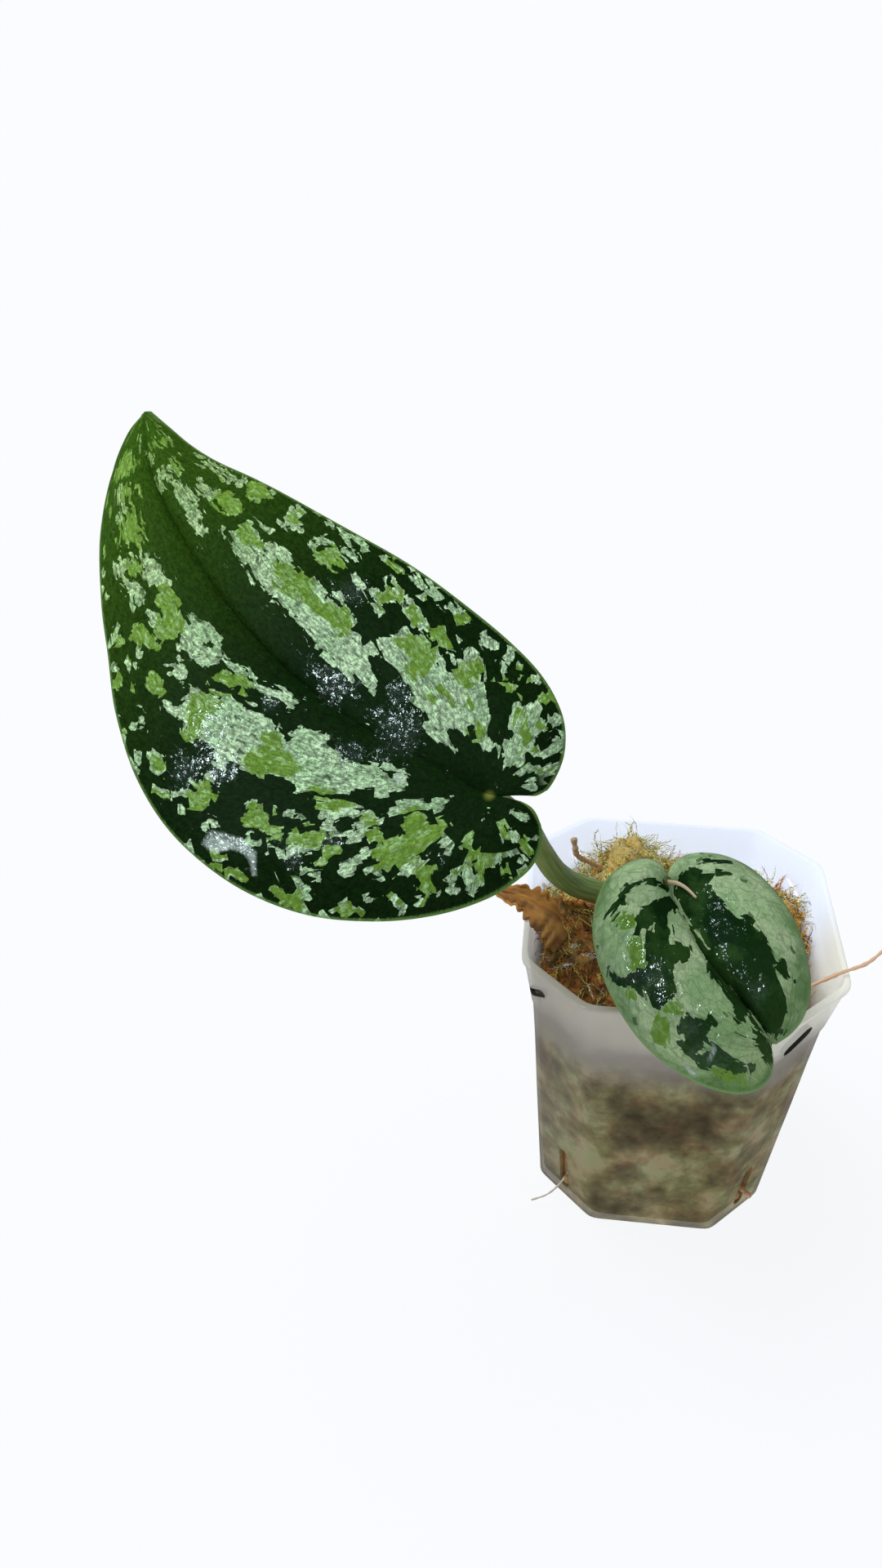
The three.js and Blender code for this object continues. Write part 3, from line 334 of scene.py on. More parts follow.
SMALL_DARK = [
    [(0.5, 36), (-1.5, 38), (-3.5, 38.2), (-4, 36), (-6, 35.5), (-7, 32), (-7.5, 29), (-8, 26.5),
     (-9, 25.5), (-10, 22), (-9.8, 18.5), (-9.5, 16), (-8, 14.8), (-7.5, 13.5), (-7, 10.5), (-6.5, 7.5),
     (-7, 6), (-9, 5.2), (-11.5, 6), (-9.5, 4.5), (-7, 3), (-6, 1.5), (-4.5, 0), (-2.5, 0.5), (-0.5, 3),
     (0.3, 8), (0.8, 15), (0.9, 25), (0.3, 32)],
    [(1.2, 5), (1.3, 9), (1.8, 14), (2.2, 18), (3.6, 20), (4.5, 22.5), (4.8, 23.2), (3, 23), (2.8, 27),
     (2.3, 29.8), (4, 30), (4.5, 31.5), (4.2, 33), (2.5, 33.3), (1.8, 32), (2, 35), (3, 37), (3, 39.5),
     (2, 42.5), (0.8, 41), (0.6, 34), (0.6, 20), (0.3, 8)],
    [(3.8, 14.8), (5, 17), (7, 17), (9.6, 17), (10.4, 19.2), (11, 21.6), (13.4, 21.8), (15.8, 22),
     (16.8, 20.4), (17, 17.6), (18.6, 15), (20, 12.8), (18.6, 13), (17.2, 12.8), (15.6, 13.2), (13.4, 13.4),
     (12, 11), (10.8, 8.8), (11.4, 7.4), (8.6, 8.6), (7.4, 7), (8.4, 6.4), (11, 7), (12.4, 6.6), (11, 5.4),
     (10, 3.8), (8.6, 2.4), (6.4, 3), (4, 2.6), (1.8, 3), (1.4, 5.4), (3.6, 6.6), (4.8, 8), (5.4, 10.4),
     (7, 12), (5.4, 13)],
    [(1.5, 1.5), (2.5, 0), (4, -1.5), (6, -2), (8.6, -1.6), (10, 0), (12, 0.8), (14, 1.4), (15.2, 0.6),
     (15, -0.2), (12.6, -0.8), (10.6, -2), (8, -3), (5, -3), (2.6, -2), (0.8, -1), (0.6, 1)],
    [(5.6, 40.4), (7.6, 41.4), (10.4, 39.4), (13, 37), (15, 35.2), (14.4, 33), (12.4, 33), (10.4, 33.2),
     (9.4, 35), (8.4, 37.2), (7, 38.8)],
    [(7, 28), (7.2, 30.2), (9.6, 30.8), (11, 31.2), (11.2, 33), (14.6, 33.6), (15.4, 31.8), (17.2, 31.2),
     (16.8, 29.6), (15, 29.2), (14.6, 27.4), (13, 26), (11.6, 25.4), (11, 27.4), (9, 29)],
    [(-10.6, 30.5), (-9.4, 30.4), (-8.6, 28.8), (-8, 26.8), (-9.4, 26.4), (-10.4, 25.4), (-11.4, 26.4),
     (-10.6, 28.4)],
    [(-13.4, 3.6), (-11, 2.6), (-8.4, 1.6), (-6.8, 0.6), (-8.4, 0.4), (-11, 1.4), (-13.2, 2.4)],
    [(18.4, 14.6), (20.2, 12.4), (20.8, 10), (19.8, 9), (19.6, 11.4)],
]
SMALL_LIME = [
    [(11.2, 7.6), (12.2, 9.6), (12.6, 12.4), (14, 13.6), (16.4, 12.6), (17, 11.6), (15.4, 10.4),
     (14.4, 8.4), (12.6, 7)],
    [(10, 2.4), (10.4, 4), (11.4, 5.2), (13.2, 4.6), (14.4, 2), (13.4, 1.4), (11.6, 1.6)],
    [(17.6, 16), (18, 18), (19, 18.6), (20, 16.8), (20.6, 15), (19.4, 14.6), (18.4, 15.2)],
    [(11.2, 24.4), (13, 25.4), (14.6, 24.4), (16.6, 22.8), (14.6, 22), (12.2, 22.4)],
    [(9, 42), (12, 40), (14, 38), (12.4, 36.6), (10.6, 38.4), (8, 41)],
    [(15, 24), (17, 27), (18.6, 29), (20, 28.4), (19.6, 25), (17, 23)],
]


def tint(red, green, blue):
    """A colour given as it looks on a screen, 0 to 255."""
    return tuple(((value / 255 + 0.055) / 1.055) ** 2.4 if value > 10 else value / 3295 for value in
                 (red, green, blue)) + (1.0,)


class Finish:
    """A node material: a Principled shader, with the nodes that feed it made one by one."""

    def __init__(self, name, **sockets):
        self.material = bpy.data.materials.new(name)
        self.material.use_nodes = True
        self.nodes = self.material.node_tree.nodes
        self.links = self.material.node_tree.links
        self.shader = self.nodes["Principled BSDF"]
        for socket, value in sockets.items():
            self.shader.inputs[socket.replace("_", " ")].default_value = value

    def plug(self, socket, value):
        if isinstance(value, bpy.types.NodeSocket):
            self.links.new(value, socket)
        else:
            socket.default_value = value

    def add(self, kind, inputs, settings=()):
        node = self.nodes.new("ShaderNode" + kind)
        for key, value in dict(settings).items():
            setattr(node, key, value)
        for key, value in inputs.items():
            self.plug(node.inputs[key], value)
        return node

    def set(self, socket, value):
        self.plug(self.shader.inputs[socket], value)

    def math(self, operation, a, b=0.0, c=0.0):
        return self.add("Math", {0: a, 1: b, 2: c}, {"operation": operation}).outputs[0]

    def vector(self, operation, a, b, c=(0.0, 0.0, 0.0), output="Vector"):
        return self.add("VectorMath", {0: a, 1: b, 2: c}, {"operation": operation}).outputs[output]

    def swing(self, value, amount):
        """A value from 0 to 1 turned into one from -amount to amount."""
        return self.math("MULTIPLY_ADD", value, 2 * amount, -amount)

    def mix(self, share, a, b, blend="MIX"):
        settings = {"data_type": "RGBA", "blend_type": blend}
        return self.add("Mix", {0: share, 6: a, 7: b}, settings).outputs[2]

    def shaded(self, colour, brightness, green=None):
        """A colour times a brightness, with another one for its green where that is given."""
        parts = {0: brightness, 1: brightness if green is None else green, 2: brightness}
        return self.mix(1.0, colour, self.add("CombineColor", parts).outputs[0], "MULTIPLY")

    def remap(self, value, low, high, to_low=0.0, to_high=1.0):
        inputs = {0: value, 1: low, 2: high, 3: to_low, 4: to_high}
        return self.add("MapRange", inputs, {"interpolation_type": "SMOOTHSTEP"}).outputs[0]

    def object_place(self):
        return self.nodes.new("ShaderNodeTexCoord").outputs["Object"]

    def axes(self, place):
        return self.add("SeparateXYZ", {0: place}).outputs

    def uv(self, name):
        return self.add("UVMap", {}, {"uv_map": name}).outputs[0]

    def attribute(self, name, output="Fac"):
        return self.add("Attribute", {}, {"attribute_name": name}).outputs[output]

    def stretch(self, place, scale):
        return self.add("Mapping", {"Vector": place, "Scale": scale}).outputs[0]

    def noise(self, place, scale, detail=3.0, roughness=0.5, distortion=0.0):
        inputs = {"Vector": place, "Scale": scale, "Detail": detail, "Roughness": roughness,
                  "Distortion": distortion}
        return self.add("TexNoise", inputs).outputs[0]

    def steps(self, place):
        """A random value in each of many oblong cells that stand in staggered columns."""
        parts = self.axes(place)
        column = self.math("FLOOR", parts[0])
        shift = self.add("TexWhiteNoise", {"W": column}, {"noise_dimensions": "1D"}).outputs["Value"]
        row = self.math("FLOOR", self.math("ADD", parts[1], shift))
        cell = self.add("CombineXYZ", {0: column, 1: row}).outputs[0]
        return self.add("TexWhiteNoise", {"Vector": cell}, {"noise_dimensions": "2D"}).outputs["Value"]

    def seams(self, place):
        """How far a point is from the edge of its cell, in a pattern of uneven cells."""
        inputs = {"Vector": place, "Scale": 1.0}
        return self.add("TexVoronoi", inputs, {"feature": "DISTANCE_TO_EDGE"}).outputs["Distance"]

    def ramp(self, value, stops):
        node = self.add("ValToRGB", {0: value})
        points = node.color_ramp.elements
        while len(points) < len(stops):
            points.new(0.5)
        for point, (place, colour) in zip(points, stops):
            point.position = place
            point.color = colour
        return node.outputs[0]

    def bump(self, height, distance, strength=1.0):
        inputs = {"Height": height, "Distance": distance, "Strength": strength}
        return self.add("Bump", inputs).outputs[0]


def finish_mesh(name, bm, materials, node, recalc=True):
    """Writes the bmesh, in millimetres, to a new object in metres that rides on the plant."""
    if recalc:
        bmesh.ops.recalc_face_normals(bm, faces=bm.faces)
    bmesh.ops.scale(bm, vec=(MM, MM, MM), verts=bm.verts)
    mesh = bpy.data.meshes.new(name)
    bm.to_mesh(mesh)
    bm.free()
    mesh.shade_smooth()
    piece = bpy.data.objects.new(name, mesh)
    bpy.context.scene.collection.objects.link(piece)
    for material in materials:
        mesh.materials.append(material)
    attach(piece, "root")
    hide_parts(node)
    return piece


def coordinates(bm):
    """The places of a mesh's vertices, as an array."""
    return np.array([vertex.co for vertex in bm.verts])


def place_all(bm, points):
    """Moves a mesh's vertices to the given points, in order."""
    for vertex, point in zip(bm.verts, points.tolist()):
        vertex.co = point


def sheet_grid(columns, rows):
    """A flat grid, with each point's place across it, from -1 to 1, and share along it, from 0 to 1."""
    bm = bmesh.new()
    bmesh.ops.create_grid(bm, x_segments=columns, y_segments=rows, size=1)
    flat = coordinates(bm)
    return bm, flat[:, 0], (flat[:, 1] + 1) / 2


def write_uv(bm, name, across, along):
    """Gives each vertex its place on the finish's map."""
    layer = bm.loops.layers.uv.new(name)
    for vertex, u, v in zip(bm.verts, across.tolist(), along.tolist()):
        for loop in vertex.link_loops:
            loop[layer].uv = (u, v)


def thicken(piece, thickness):
    """Makes a sheet of the given thickness, half to either side."""
    shell = piece.modifiers.new("thickness", "SOLIDIFY")
    shell.thickness = thickness * MM
    shell.offset = 0
    return shell


def close_tube(bm):
    """Welds the seam of a rolled grid and closes its ends."""
    bmesh.ops.remove_doubles(bm, verts=bm.verts, dist=1e-4)
    rims = [edge for edge in bm.edges if edge.is_boundary]
    if rims:
        bmesh.ops.holes_fill(bm, edges=rims)


def unit(vectors):
    """The same directions, each of length 1."""
    return vectors / np.maximum(np.linalg.norm(vectors, axis=-1, keepdims=True), 1e-12)


def on_spline(points, share):
    """Points at the given shares of a smooth curve through the given points."""
    points = np.array(points, float)
    full = np.vstack([2 * points[0] - points[1], points, 2 * points[-1] - points[-2]])
    place = share * (len(points) - 1)
    i = np.clip(np.floor(place).astype(int), 0, len(points) - 2)
    u = (place - i)[..., None]
    a, b, c, d = full[i], full[i + 1], full[i + 2], full[i + 3]
    return b + 0.5 * u * (c - a + u * (2 * a - 5 * b + 4 * c - d + u * (3 * (b - c) + d - a)))


def smooth_path(points, steps):
    """Evenly spaced points along a centripetal curve through the given points."""
    points = np.array(points, float)
    full = np.vstack([2 * points[0] - points[1], points, 2 * points[-1] - points[-2]])
    u = np.linspace(0, 1, 25)[:-1, None]
    pieces = []
    for p0, p1, p2, p3 in zip(full, full[1:], full[2:], full[3:]):
        d0, d1, d2 = [math.sqrt(np.linalg.norm(b - a)) for a, b in ((p0, p1), (p1, p2), (p2, p3))]
        t1 = d1 * ((p1 - p0) / d0 - (p2 - p0) / (d0 + d1) + (p2 - p1) / d1)
        t2 = d1 * ((p2 - p1) / d1 - (p3 - p1) / (d1 + d2) + (p3 - p2) / d2)
        pieces.append(p1 + t1 * u + (3 * (p2 - p1) - 2 * t1 - t2) * u**2 + (2 * (p1 - p2) + t1 + t2) * u**3)
    dense = np.vstack(pieces + [points[-1:]])
    lengths = np.concatenate([[0], np.cumsum(np.linalg.norm(np.diff(dense, axis=0), axis=1))])
    places = np.linspace(0, lengths[-1], steps + 1)
    return np.column_stack([np.interp(places, lengths, dense[:, axis]) for axis in range(3)])


def tube(name, points, radius_at, materials, steps, sides, node):
    """A closed round piece along a path. Its radius is a formula of the share along it and the turn."""
    centres = smooth_path(points, steps)
    ahead = unit(np.gradient(centres, axis=0))
    up = np.zeros_like(ahead)
    up[0] = unit(np.cross(ahead[0], (0.3, 0.9, 0.2)))
    for i in range(1, len(up)):
        up[i] = unit(up[i - 1] - ahead[i] * np.dot(up[i - 1], ahead[i]))
    aside = np.cross(ahead, up)
    bm, side, share = sheet_grid(sides, steps)
    turn = math.pi * side
    ring = np.rint(share * steps).astype(int)
    out = np.cos(turn)[:, None] * aside[ring] + np.sin(turn)[:, None] * up[ring]
    place_all(bm, centres[ring] + radius_at(share, turn)[:, None] * out)
    length = np.linalg.norm(np.diff(centres, axis=0), axis=1).sum()
    write_uv(bm, "along", turn / (2 * math.pi), share * length / 10)
    close_tube(bm)
    return finish_mesh(name, bm, materials, node)


# Leaf blades

def blade_axes(leaf):
    """The blade's own axes: its base, then across it, along it and out of its face, and its length."""
    base = np.array(leaf["base"], float)
    along = np.array(leaf["tip"], float) - base
    length = np.linalg.norm(along)
    along = along / length
    across = unit(np.cross(along, leaf["face"]))
    return base, across, along, np.cross(across, along), length


def blade_plan(leaf, side, share):
    """Where a point of the blade lies across and along it, how far from the midrib, and the half width."""
    place = FAN["even"] * share + (1 - FAN["even"]) * np.maximum(share, 0) ** FAN["power"]
    rib = on_spline(leaf["midrib"], place)
    margin = np.where((side < 0)[..., None], on_spline(leaf["left"], share), on_spline(leaf["right"], share))
    width = np.linalg.norm(margin - rib, axis=-1)
    k = np.abs(side)
    return rib + k[..., None] * (margin - rib), k * width, width


def blade_middle(leaf, side, share):
    """Points in the middle of the blade's thickness: side is -1 to 1, share 0 to 1 from notch to tip."""
    base, across, along, face, length = blade_axes(leaf)
    plan, from_rib, width = blade_plan(leaf, side, share)
    k = np.abs(side)
    reach = np.clip(plan[..., 1] / length, 0, 1)
    ease = np.minimum(1, width / leaf["ease"])
    rolled = leaf["roll"] * k**4 * np.minimum(1, share * 12)
    waved = leaf["wave"] * k**3 * np.sin(2 * np.pi * leaf["waves"] * share)
    height = ease * (4 * leaf["bulge"] * k * (1 - k) - rolled + waved)
    height = height + leaf["arch"] * np.sin(np.pi * reach) - leaf["curl"] * reach**4
    height = height - leaf["groove"] * ease * np.exp(-(from_rib**2) / 2)
    return base + plan[..., :1] * across + plan[..., 1:] * along + height[..., None] * face


def signed_distance(outlines, x, y, reach=3.0):
    """How deep each point lies inside the nearest outline; negative outside, down to -reach."""
    best = np.full(x.shape, -reach)
    for outline in outlines:
        points = np.array(outline, float)
        low, high = points.min(0) - reach, points.max(0) + reach
        near = (x > low[0]) & (x < high[0]) & (y > low[1]) & (y < high[1])
        px, py = x[near], y[near]
        gap = np.full(px.shape, reach)
        within = np.zeros(px.shape, bool)
        for (x0, y0), (x1, y1) in zip(points, np.roll(points, -1, 0)):
            ex, ey = x1 - x0, y1 - y0
            along = np.clip(((px - x0) * ex + (py - y0) * ey) / (ex * ex + ey * ey), 0, 1)
            gap = np.minimum(gap, np.hypot(px - x0 - along * ex, py - y0 - along * ey))
            if ey:
                within ^= ((y0 > py) != (y1 > py)) & (px < x0 + (py - y0) * ex / ey)
        best[near] = np.maximum(best[near], np.where(within, gap, -gap))
    return best


def spots(places, x, y):
    """Soft round spots, 1 in their middles, from (across, along, radius)."""
    total = np.zeros(x.shape)
    for across, along, radius in places:
        total = np.maximum(total, np.exp(-((x - across) ** 2 + (y - along) ** 2) / radius**2))
    return total


def vein_fan(leaf, side, x, y):
    """Turn about the notch, bent towards the tip, as the side veins run."""
    tip = leaf["midrib"][-1]
    out = np.where(side < 0, 1.0, -1.0)
    turn = np.arctan2(-out * x, y)
    turn = np.where(turn < -1.4, turn + 2 * np.pi, turn)
    return out * (turn + 0.4 * np.arctan2(-out * (x - tip[0]), np.maximum(tip[1] - y, 0.5)))


def blade_normal(leaf, side, share, step):
    """The way out of the blade's face, from points a small step to either side."""
    right = blade_middle(leaf, np.minimum(side + step, 1), share)
    left = blade_middle(leaf, np.maximum(side - step, -1), share)
    upper = blade_middle(leaf, side, np.minimum(share + step, 1))
    lower = blade_middle(leaf, side, np.maximum(share - step, 0))
    return unit(np.cross(right - left, upper - lower))


def blade(name, leaf, marks, columns, rows, materials, node):
    """A leaf blade: a fine sheet by the blade's formula, with its markings as distances in attributes."""
    bm, side, share = sheet_grid(columns, rows)
    plan, from_rib, width = blade_plan(leaf, side, share)
    x, y = plan[:, 0], plan[:, 1]
    fan = vein_fan(leaf, side, x, y)
    radius = np.hypot(x, y)
    points = blade_middle(leaf, side, share)
    normal = blade_normal(leaf, side, share, 0.004)
    inner = np.clip((width - from_rib) / 4, 0, 1) * np.clip(from_rib / 3, 0, 1)
    inner = inner * np.clip((radius - 8) / 14, 0, 1)
    quilt = np.array([noise.noise((a * 6, b / 14, 3.0)) for a, b in zip(fan.tolist(), radius.tolist())])
    place_all(bm, points + normal * (marks["quilt"] * quilt * inner)[:, None])
    write_uv(bm, "veins", fan * 3, radius / 10)
    piece = finish_mesh(name, bm, materials, node, recalc=False)
    fields = {
        "silver": marks["silver"](x, y), "lime": signed_distance(marks["lime"], x, y),
        "tone": marks["tone"](x, y), "wet": spots(marks["wet"], x, y),
        "film": signed_distance(marks["film"], x, y), "margin": np.minimum(width - from_rib, 9),
    }
    for field, values in fields.items():
        layer = piece.data.attributes.new(field, "FLOAT", "POINT")
        layer.data.foreach_set("value", values.astype(np.float32))
    shell = thicken(piece, leaf["thickness"])
    shell.use_even_offset = False
    shell.material_offset = 1
    shell.material_offset_rim = 2


# The finishes

def vein_cells(finish):
    """Patterns that follow the veins: a fine one, and random values in small and large oblong cells."""
    veins, place = finish.uv("veins"), finish.object_place()
    radius = finish.axes(veins)[1]
    bend = finish.add("TexNoise", {"Vector": veins, "Scale": 2.5}).outputs[1]
    bent = finish.vector("MULTIPLY_ADD", bend, (0.3, 0.3, 0.0), veins)
    doubling = finish.math("POWER", 2.0, finish.math("FLOOR", finish.math("LOGARITHM", radius, 2.0)))
    doubling = finish.add("CombineXYZ", {0: doubling, 1: 1.0, 2: 1.0}).outputs[0]
    even = finish.vector("MULTIPLY", bent, doubling)
    return {
        "place": place, "radius": radius, "even": even, "margin": finish.attribute("margin"),
        "fine": finish.noise(finish.stretch(veins, (12.0, 6.0, 1.0)), 2.4, 4.0, 0.6),
        "grain": finish.noise(finish.stretch(veins, (13.0, 2.8, 1.0)), 2.2, 4.0, 0.7),
        "speck": finish.noise(place, 1400.0, 3.0, 0.75),
        "bricks": finish.steps(finish.stretch(even, (3.4, 2.4, 1.0))),
        "chips": finish.steps(finish.stretch(even, (7.0, 7.0, 1.0))),
    }


def stepped_marks(finish, cells, face):
    """Where silver and lime lie: the drawn outlines with stepped edges, and flecks between them."""
    bricks, chips = cells["bricks"], cells["chips"]
    ragged = finish.math("ADD", finish.swing(cells["fine"], 0.12), finish.swing(bricks, 0.95))
    ragged = finish.math("ADD", ragged, finish.swing(chips, 0.25))
    ragged = finish.math("MULTIPLY", ragged, face["ragged"])
    silver = finish.remap(finish.math("ADD", finish.attribute("silver"), ragged), -0.04, 0.04)
    silver = finish.math("MULTIPLY", silver, finish.remap(chips, 0.98, 0.985, 1.0, 0.25))
    lime = finish.remap(finish.math("ADD", finish.attribute("lime"), ragged), -0.05, 0.05)
    rare = finish.remap(cells["margin"], 2.0, 9.0, 0.87, 1.01)
    flecks = finish.steps(finish.stretch(cells["even"], (2.6, 6.0, 1.0)))
    flecks = finish.math("GREATER_THAN", flecks, rare)
    flecks = finish.math("MULTIPLY", flecks, finish.remap(cells["radius"], 0.8, 1.2))
    flecks = finish.math("MULTIPLY", flecks, face["flecks"])
    lime_flecks = finish.math("MULTIPLY", flecks, finish.math("GREATER_THAN", bricks, 0.6))
    return finish.math("MAXIMUM", silver, flecks), finish.math("MAXIMUM", lime, lime_flecks)


def mark_shades(finish, cells, face):
    """Brightness of the marks, with grain, specks and fine seams, and a calmer one for the green."""
    seam = finish.remap(finish.seams(finish.stretch(cells["even"], (2.0, 3.0, 1.0))), 0.01, 0.09,
                        1.0 - face["seams"], 1.0)
    grain = finish.remap(cells["grain"], 0.36, 0.6, 0.66, 1.25)
    shade = finish.math("MULTIPLY", grain, finish.remap(cells["speck"], 0.4, 0.6, 0.72, 1.26))
    shade = finish.math("MULTIPLY", shade, finish.math("MULTIPLY_ADD", cells["chips"], 0.3, 0.85))
    shade = finish.math("MULTIPLY", finish.math("POWER", shade, face["contrast"]), seam)
    return shade, finish.math("POWER", shade, 0.45)


def face_colour(finish, cells, face, silver_in, lime_in):
    """The colour of the upper face: green, then silver, then lime, then the spot and rim at the notch."""
    tone, margin, radius = finish.attribute("tone"), cells["margin"], cells["radius"]
    shade, calm = mark_shades(finish, cells, face)
    broad = finish.noise(cells["place"], 110.0, 3.0, 0.55, 0.4)
    mottled = finish.math("MAXIMUM", tone, finish.remap(broad, 0.44, 0.62, 0.0, face["green_edge"] * 0.8))
    green = finish.shaded(finish.mix(mottled, face["dark"], face["pale_dark"]), calm)
    silver = finish.shaded(finish.mix(tone, face["silver"], face["pale_silver"]), shade)
    dulled = finish.remap(broad, 0.35, 0.6, face["dullest"], 1.06)
    silver = finish.shaded(silver, dulled, finish.math("POWER", dulled, 0.6))
    edge = finish.remap(finish.math("MULTIPLY_ADD", broad, 8.0, margin), 3.6, 8.2, face["green_edge"], 0.0)
    silver = finish.mix(edge, silver, tint(78, 116, 62))
    lime = finish.shaded(finish.mix(tone, face["lime"], face["pale_lime"]), calm)
    silvery = finish.math("MULTIPLY_ADD", cells["chips"], 0.5, cells["grain"])
    lime = finish.mix(finish.remap(silvery, 0.75, 1.0, 0.0, 0.35), lime, silver)
    colour = finish.mix(lime_in, finish.mix(silver_in, green, silver), lime)
    colour = finish.mix(finish.remap(radius, 0.02, 0.15, 0.7, 0.0), colour, tint(136, 152, 66))
    notch = finish.remap(radius, 0.1, 1.0, 1.0, 0.0)
    rim = finish.math("MULTIPLY_ADD", cells["fine"], 0.9, margin)
    rim = finish.remap(finish.math("MULTIPLY_ADD", notch, -1.8, rim), 0.7, 1.2, 0.75, 0.0)
    return finish.mix(rim, colour, finish.mix(notch, face["margin"], tint(150, 162, 72)))


def wet_places(finish, cells, face):
    """How wet the face is: a film of water with a clear edge, beads on the wet spots; the films' pale colour
    and a dull gloss are painted reflections.
    """
    fine, wet, place = cells["fine"], finish.attribute("wet"), cells["place"]
    patchy = finish.noise(place, 260.0, 3.0, 0.6, 0.5)
    # Painted reflection: a dull grey-blue gloss on the wet spots, for light mirrored there.
    painted_sheen = finish.remap(finish.math("MULTIPLY_ADD", fine, 0.6, wet), 0.6, 1.5, 0.0, 0.08)
    painted_sheen = finish.math("MULTIPLY", painted_sheen, finish.remap(cells["speck"], 0.4, 0.6, 0.4, 1.2))
    film = finish.remap(finish.math("MULTIPLY_ADD", fine, 0.8, finish.attribute("film")), 0.1, 1.0)
    # Painted reflection: the films of water are drawn pale where they mirror the light, and the pale blemish
    # with them.
    film_glare_and_blemish = finish.math("MULTIPLY", film, finish.remap(patchy, 0.35, 0.62, 0.25, 0.85))
    beads = finish.remap(finish.noise(place, face["ripple_scale"] * 0.8, 2.0, 0.6), 0.5, 0.56, 0.04, 1.0)
    wet = finish.math("MULTIPLY_ADD", patchy, 2.2, finish.math("SUBTRACT", wet, 2.05))
    wet = finish.math("MULTIPLY_ADD", cells["grain"], 1.2, wet)
    wet = finish.math("MULTIPLY", finish.remap(wet, -face["damp"], 0.2), beads)
    return finish.math("MAXIMUM", wet, film), film_glare_and_blemish, painted_sheen


def leaf_face_finish(name, face):
    """The upper face: dark green, with silver and lime patches whose stepped edges follow the veins."""
    finish = Finish(name, Specular_IOR_Level=0.01, Coat_Roughness=0.04, Coat_IOR=1.6, IOR=1.45)
    cells = vein_cells(finish)
    silver_in, lime_in = stepped_marks(finish, cells, face)
    wet, film_glare_and_blemish, painted_sheen = wet_places(finish, cells, face)
    colour = face_colour(finish, cells, face, silver_in, lime_in)
    # Painted reflections: the dull gloss on the wet spots, then the pale films of water.
    colour = finish.mix(painted_sheen, colour, tint(132, 150, 158))
    finish.set("Base Color", finish.mix(film_glare_and_blemish, colour, tint(200, 220, 212)))
    finish.set("Roughness", finish.math("MULTIPLY_ADD", silver_in, 0.05, 0.42))
    relief = finish.math("MULTIPLY_ADD", silver_in, 0.75, 0.25)
    finish.set("Normal", finish.bump(finish.math("MULTIPLY", cells["grain"], relief), 0.0003, 0.8))
    ripple = finish.noise(cells["place"], face["ripple_scale"], 1.5, 0.5, 1.2)
    finish.set("Coat Weight", wet)
    finish.set("Coat Normal", finish.bump(ripple, face["ripple_depth"]))
    return finish.material


def plain_leaf_finish(name, colour, paler, roughness):
    """The underside or the cut margin: one green with faint veins."""
    finish = Finish(name, Roughness=roughness)
    grain = finish.noise(finish.stretch(finish.uv("veins"), (6.0, 1.0, 1.0)), 2.5, 4.0, 0.6)
    finish.set("Base Color", finish.mix(finish.remap(grain, 0.3, 0.7), colour, paler))
    finish.set("Normal", finish.bump(grain, 0.0003, 0.6))
    return finish.material


def fleshy_finish(name, colour, paler, base_colour, base_low, base_high, roughness=0.35, streak=30.0):
    """A stalk, stem or root: streaks along it, and another colour below a height."""
    finish = Finish(name, Roughness=roughness)
    place = finish.object_place()
    streaks = finish.noise(finish.stretch(finish.uv("along"), (streak, 1.0, 1.0)), 1.0, 3.0, 0.55)
    mottle = finish.noise(place, 160.0, 3.0, 0.6)
    skin = finish.mix(finish.remap(streaks, 0.3, 0.7), colour, paler)
    height = finish.math("MULTIPLY_ADD", mottle, 0.004, finish.axes(place)[2])
    low = finish.remap(height, base_low * MM + 0.002, base_high * MM + 0.002, 1.0, 0.0)
    finish.set("Base Color", finish.mix(low, skin, finish.mix(mottle, base_colour, skin)))
    finish.set("Normal", finish.bump(finish.math("ADD", streaks, mottle), 0.0002, 0.5))
    return finish.material


def sprig_finish():
    """Moss sprigs, coloured one by one through an attribute."""
    finish = Finish("moss sprigs", Roughness=0.85)
    speck = finish.noise(finish.object_place(), 900.0, 3.0, 0.6)
    colour = finish.attribute("hue", "Color")
    finish.set("Base Color", finish.mix(finish.remap(speck, 0.35, 0.7, 0.0, 0.3), colour, tint(70, 48, 26)))
    return finish.material


def moss_body_finish():
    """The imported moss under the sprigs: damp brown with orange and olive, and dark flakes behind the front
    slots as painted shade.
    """
    finish = Finish("moss packed", Roughness=0.8)
    place = finish.object_place()
    x, y, z = finish.axes(place)
    big = finish.noise(place, 70.0, 4.0, 0.6, 0.5)
    small = finish.noise(place, 420.0, 4.0, 0.65)
    brown = finish.ramp(big, [(0.3, tint(112, 76, 38)), (0.46, tint(178, 122, 58)),
                              (0.58, tint(190, 154, 76)), (0.72, tint(214, 198, 128))])
    # Painted shade: dark brown patches, as in the hollows of the moss.
    brown = finish.mix(finish.remap(small, 0.4, 0.62, 0.0, 0.7), brown, tint(72, 48, 26))
    left = finish.math("MULTIPLY", finish.remap(x, -0.004, -0.014), finish.remap(small, 0.5, 0.4, 0.0, 0.5))
    brown = finish.mix(left, brown, tint(228, 152, 80))
    back = finish.remap(y, 0.006, 0.02, 0.0, 0.85)
    brown = finish.mix(back, brown, finish.mix(small, tint(230, 214, 136), tint(180, 152, 78)))
    corner = finish.math("ABSOLUTE", finish.math("MULTIPLY", x, y))
    # Painted shade: the flakes behind the collar's front slots are dark, to show as shade through the slots.
    shade_flake = finish.math("MULTIPLY", finish.remap(corner, 5.5e-4, 6e-4), finish.remap(z, 0.064, 0.066))
    brown = finish.mix(shade_flake, brown, finish.mix(small, tint(126, 94, 62), tint(76, 60, 46)))
    low = finish.remap(z, 0.02, 0.028, 1.0, 0.0)
    foot = finish.math("MULTIPLY", finish.remap(corner, 3.4e-4, 4.2e-4), low)
    brown = finish.mix(foot, brown, finish.mix(small, tint(190, 138, 70), tint(164, 136, 80)))
    finish.set("Base Color", brown)
    finish.set("Normal", finish.bump(small, 0.0012))
    return finish.material


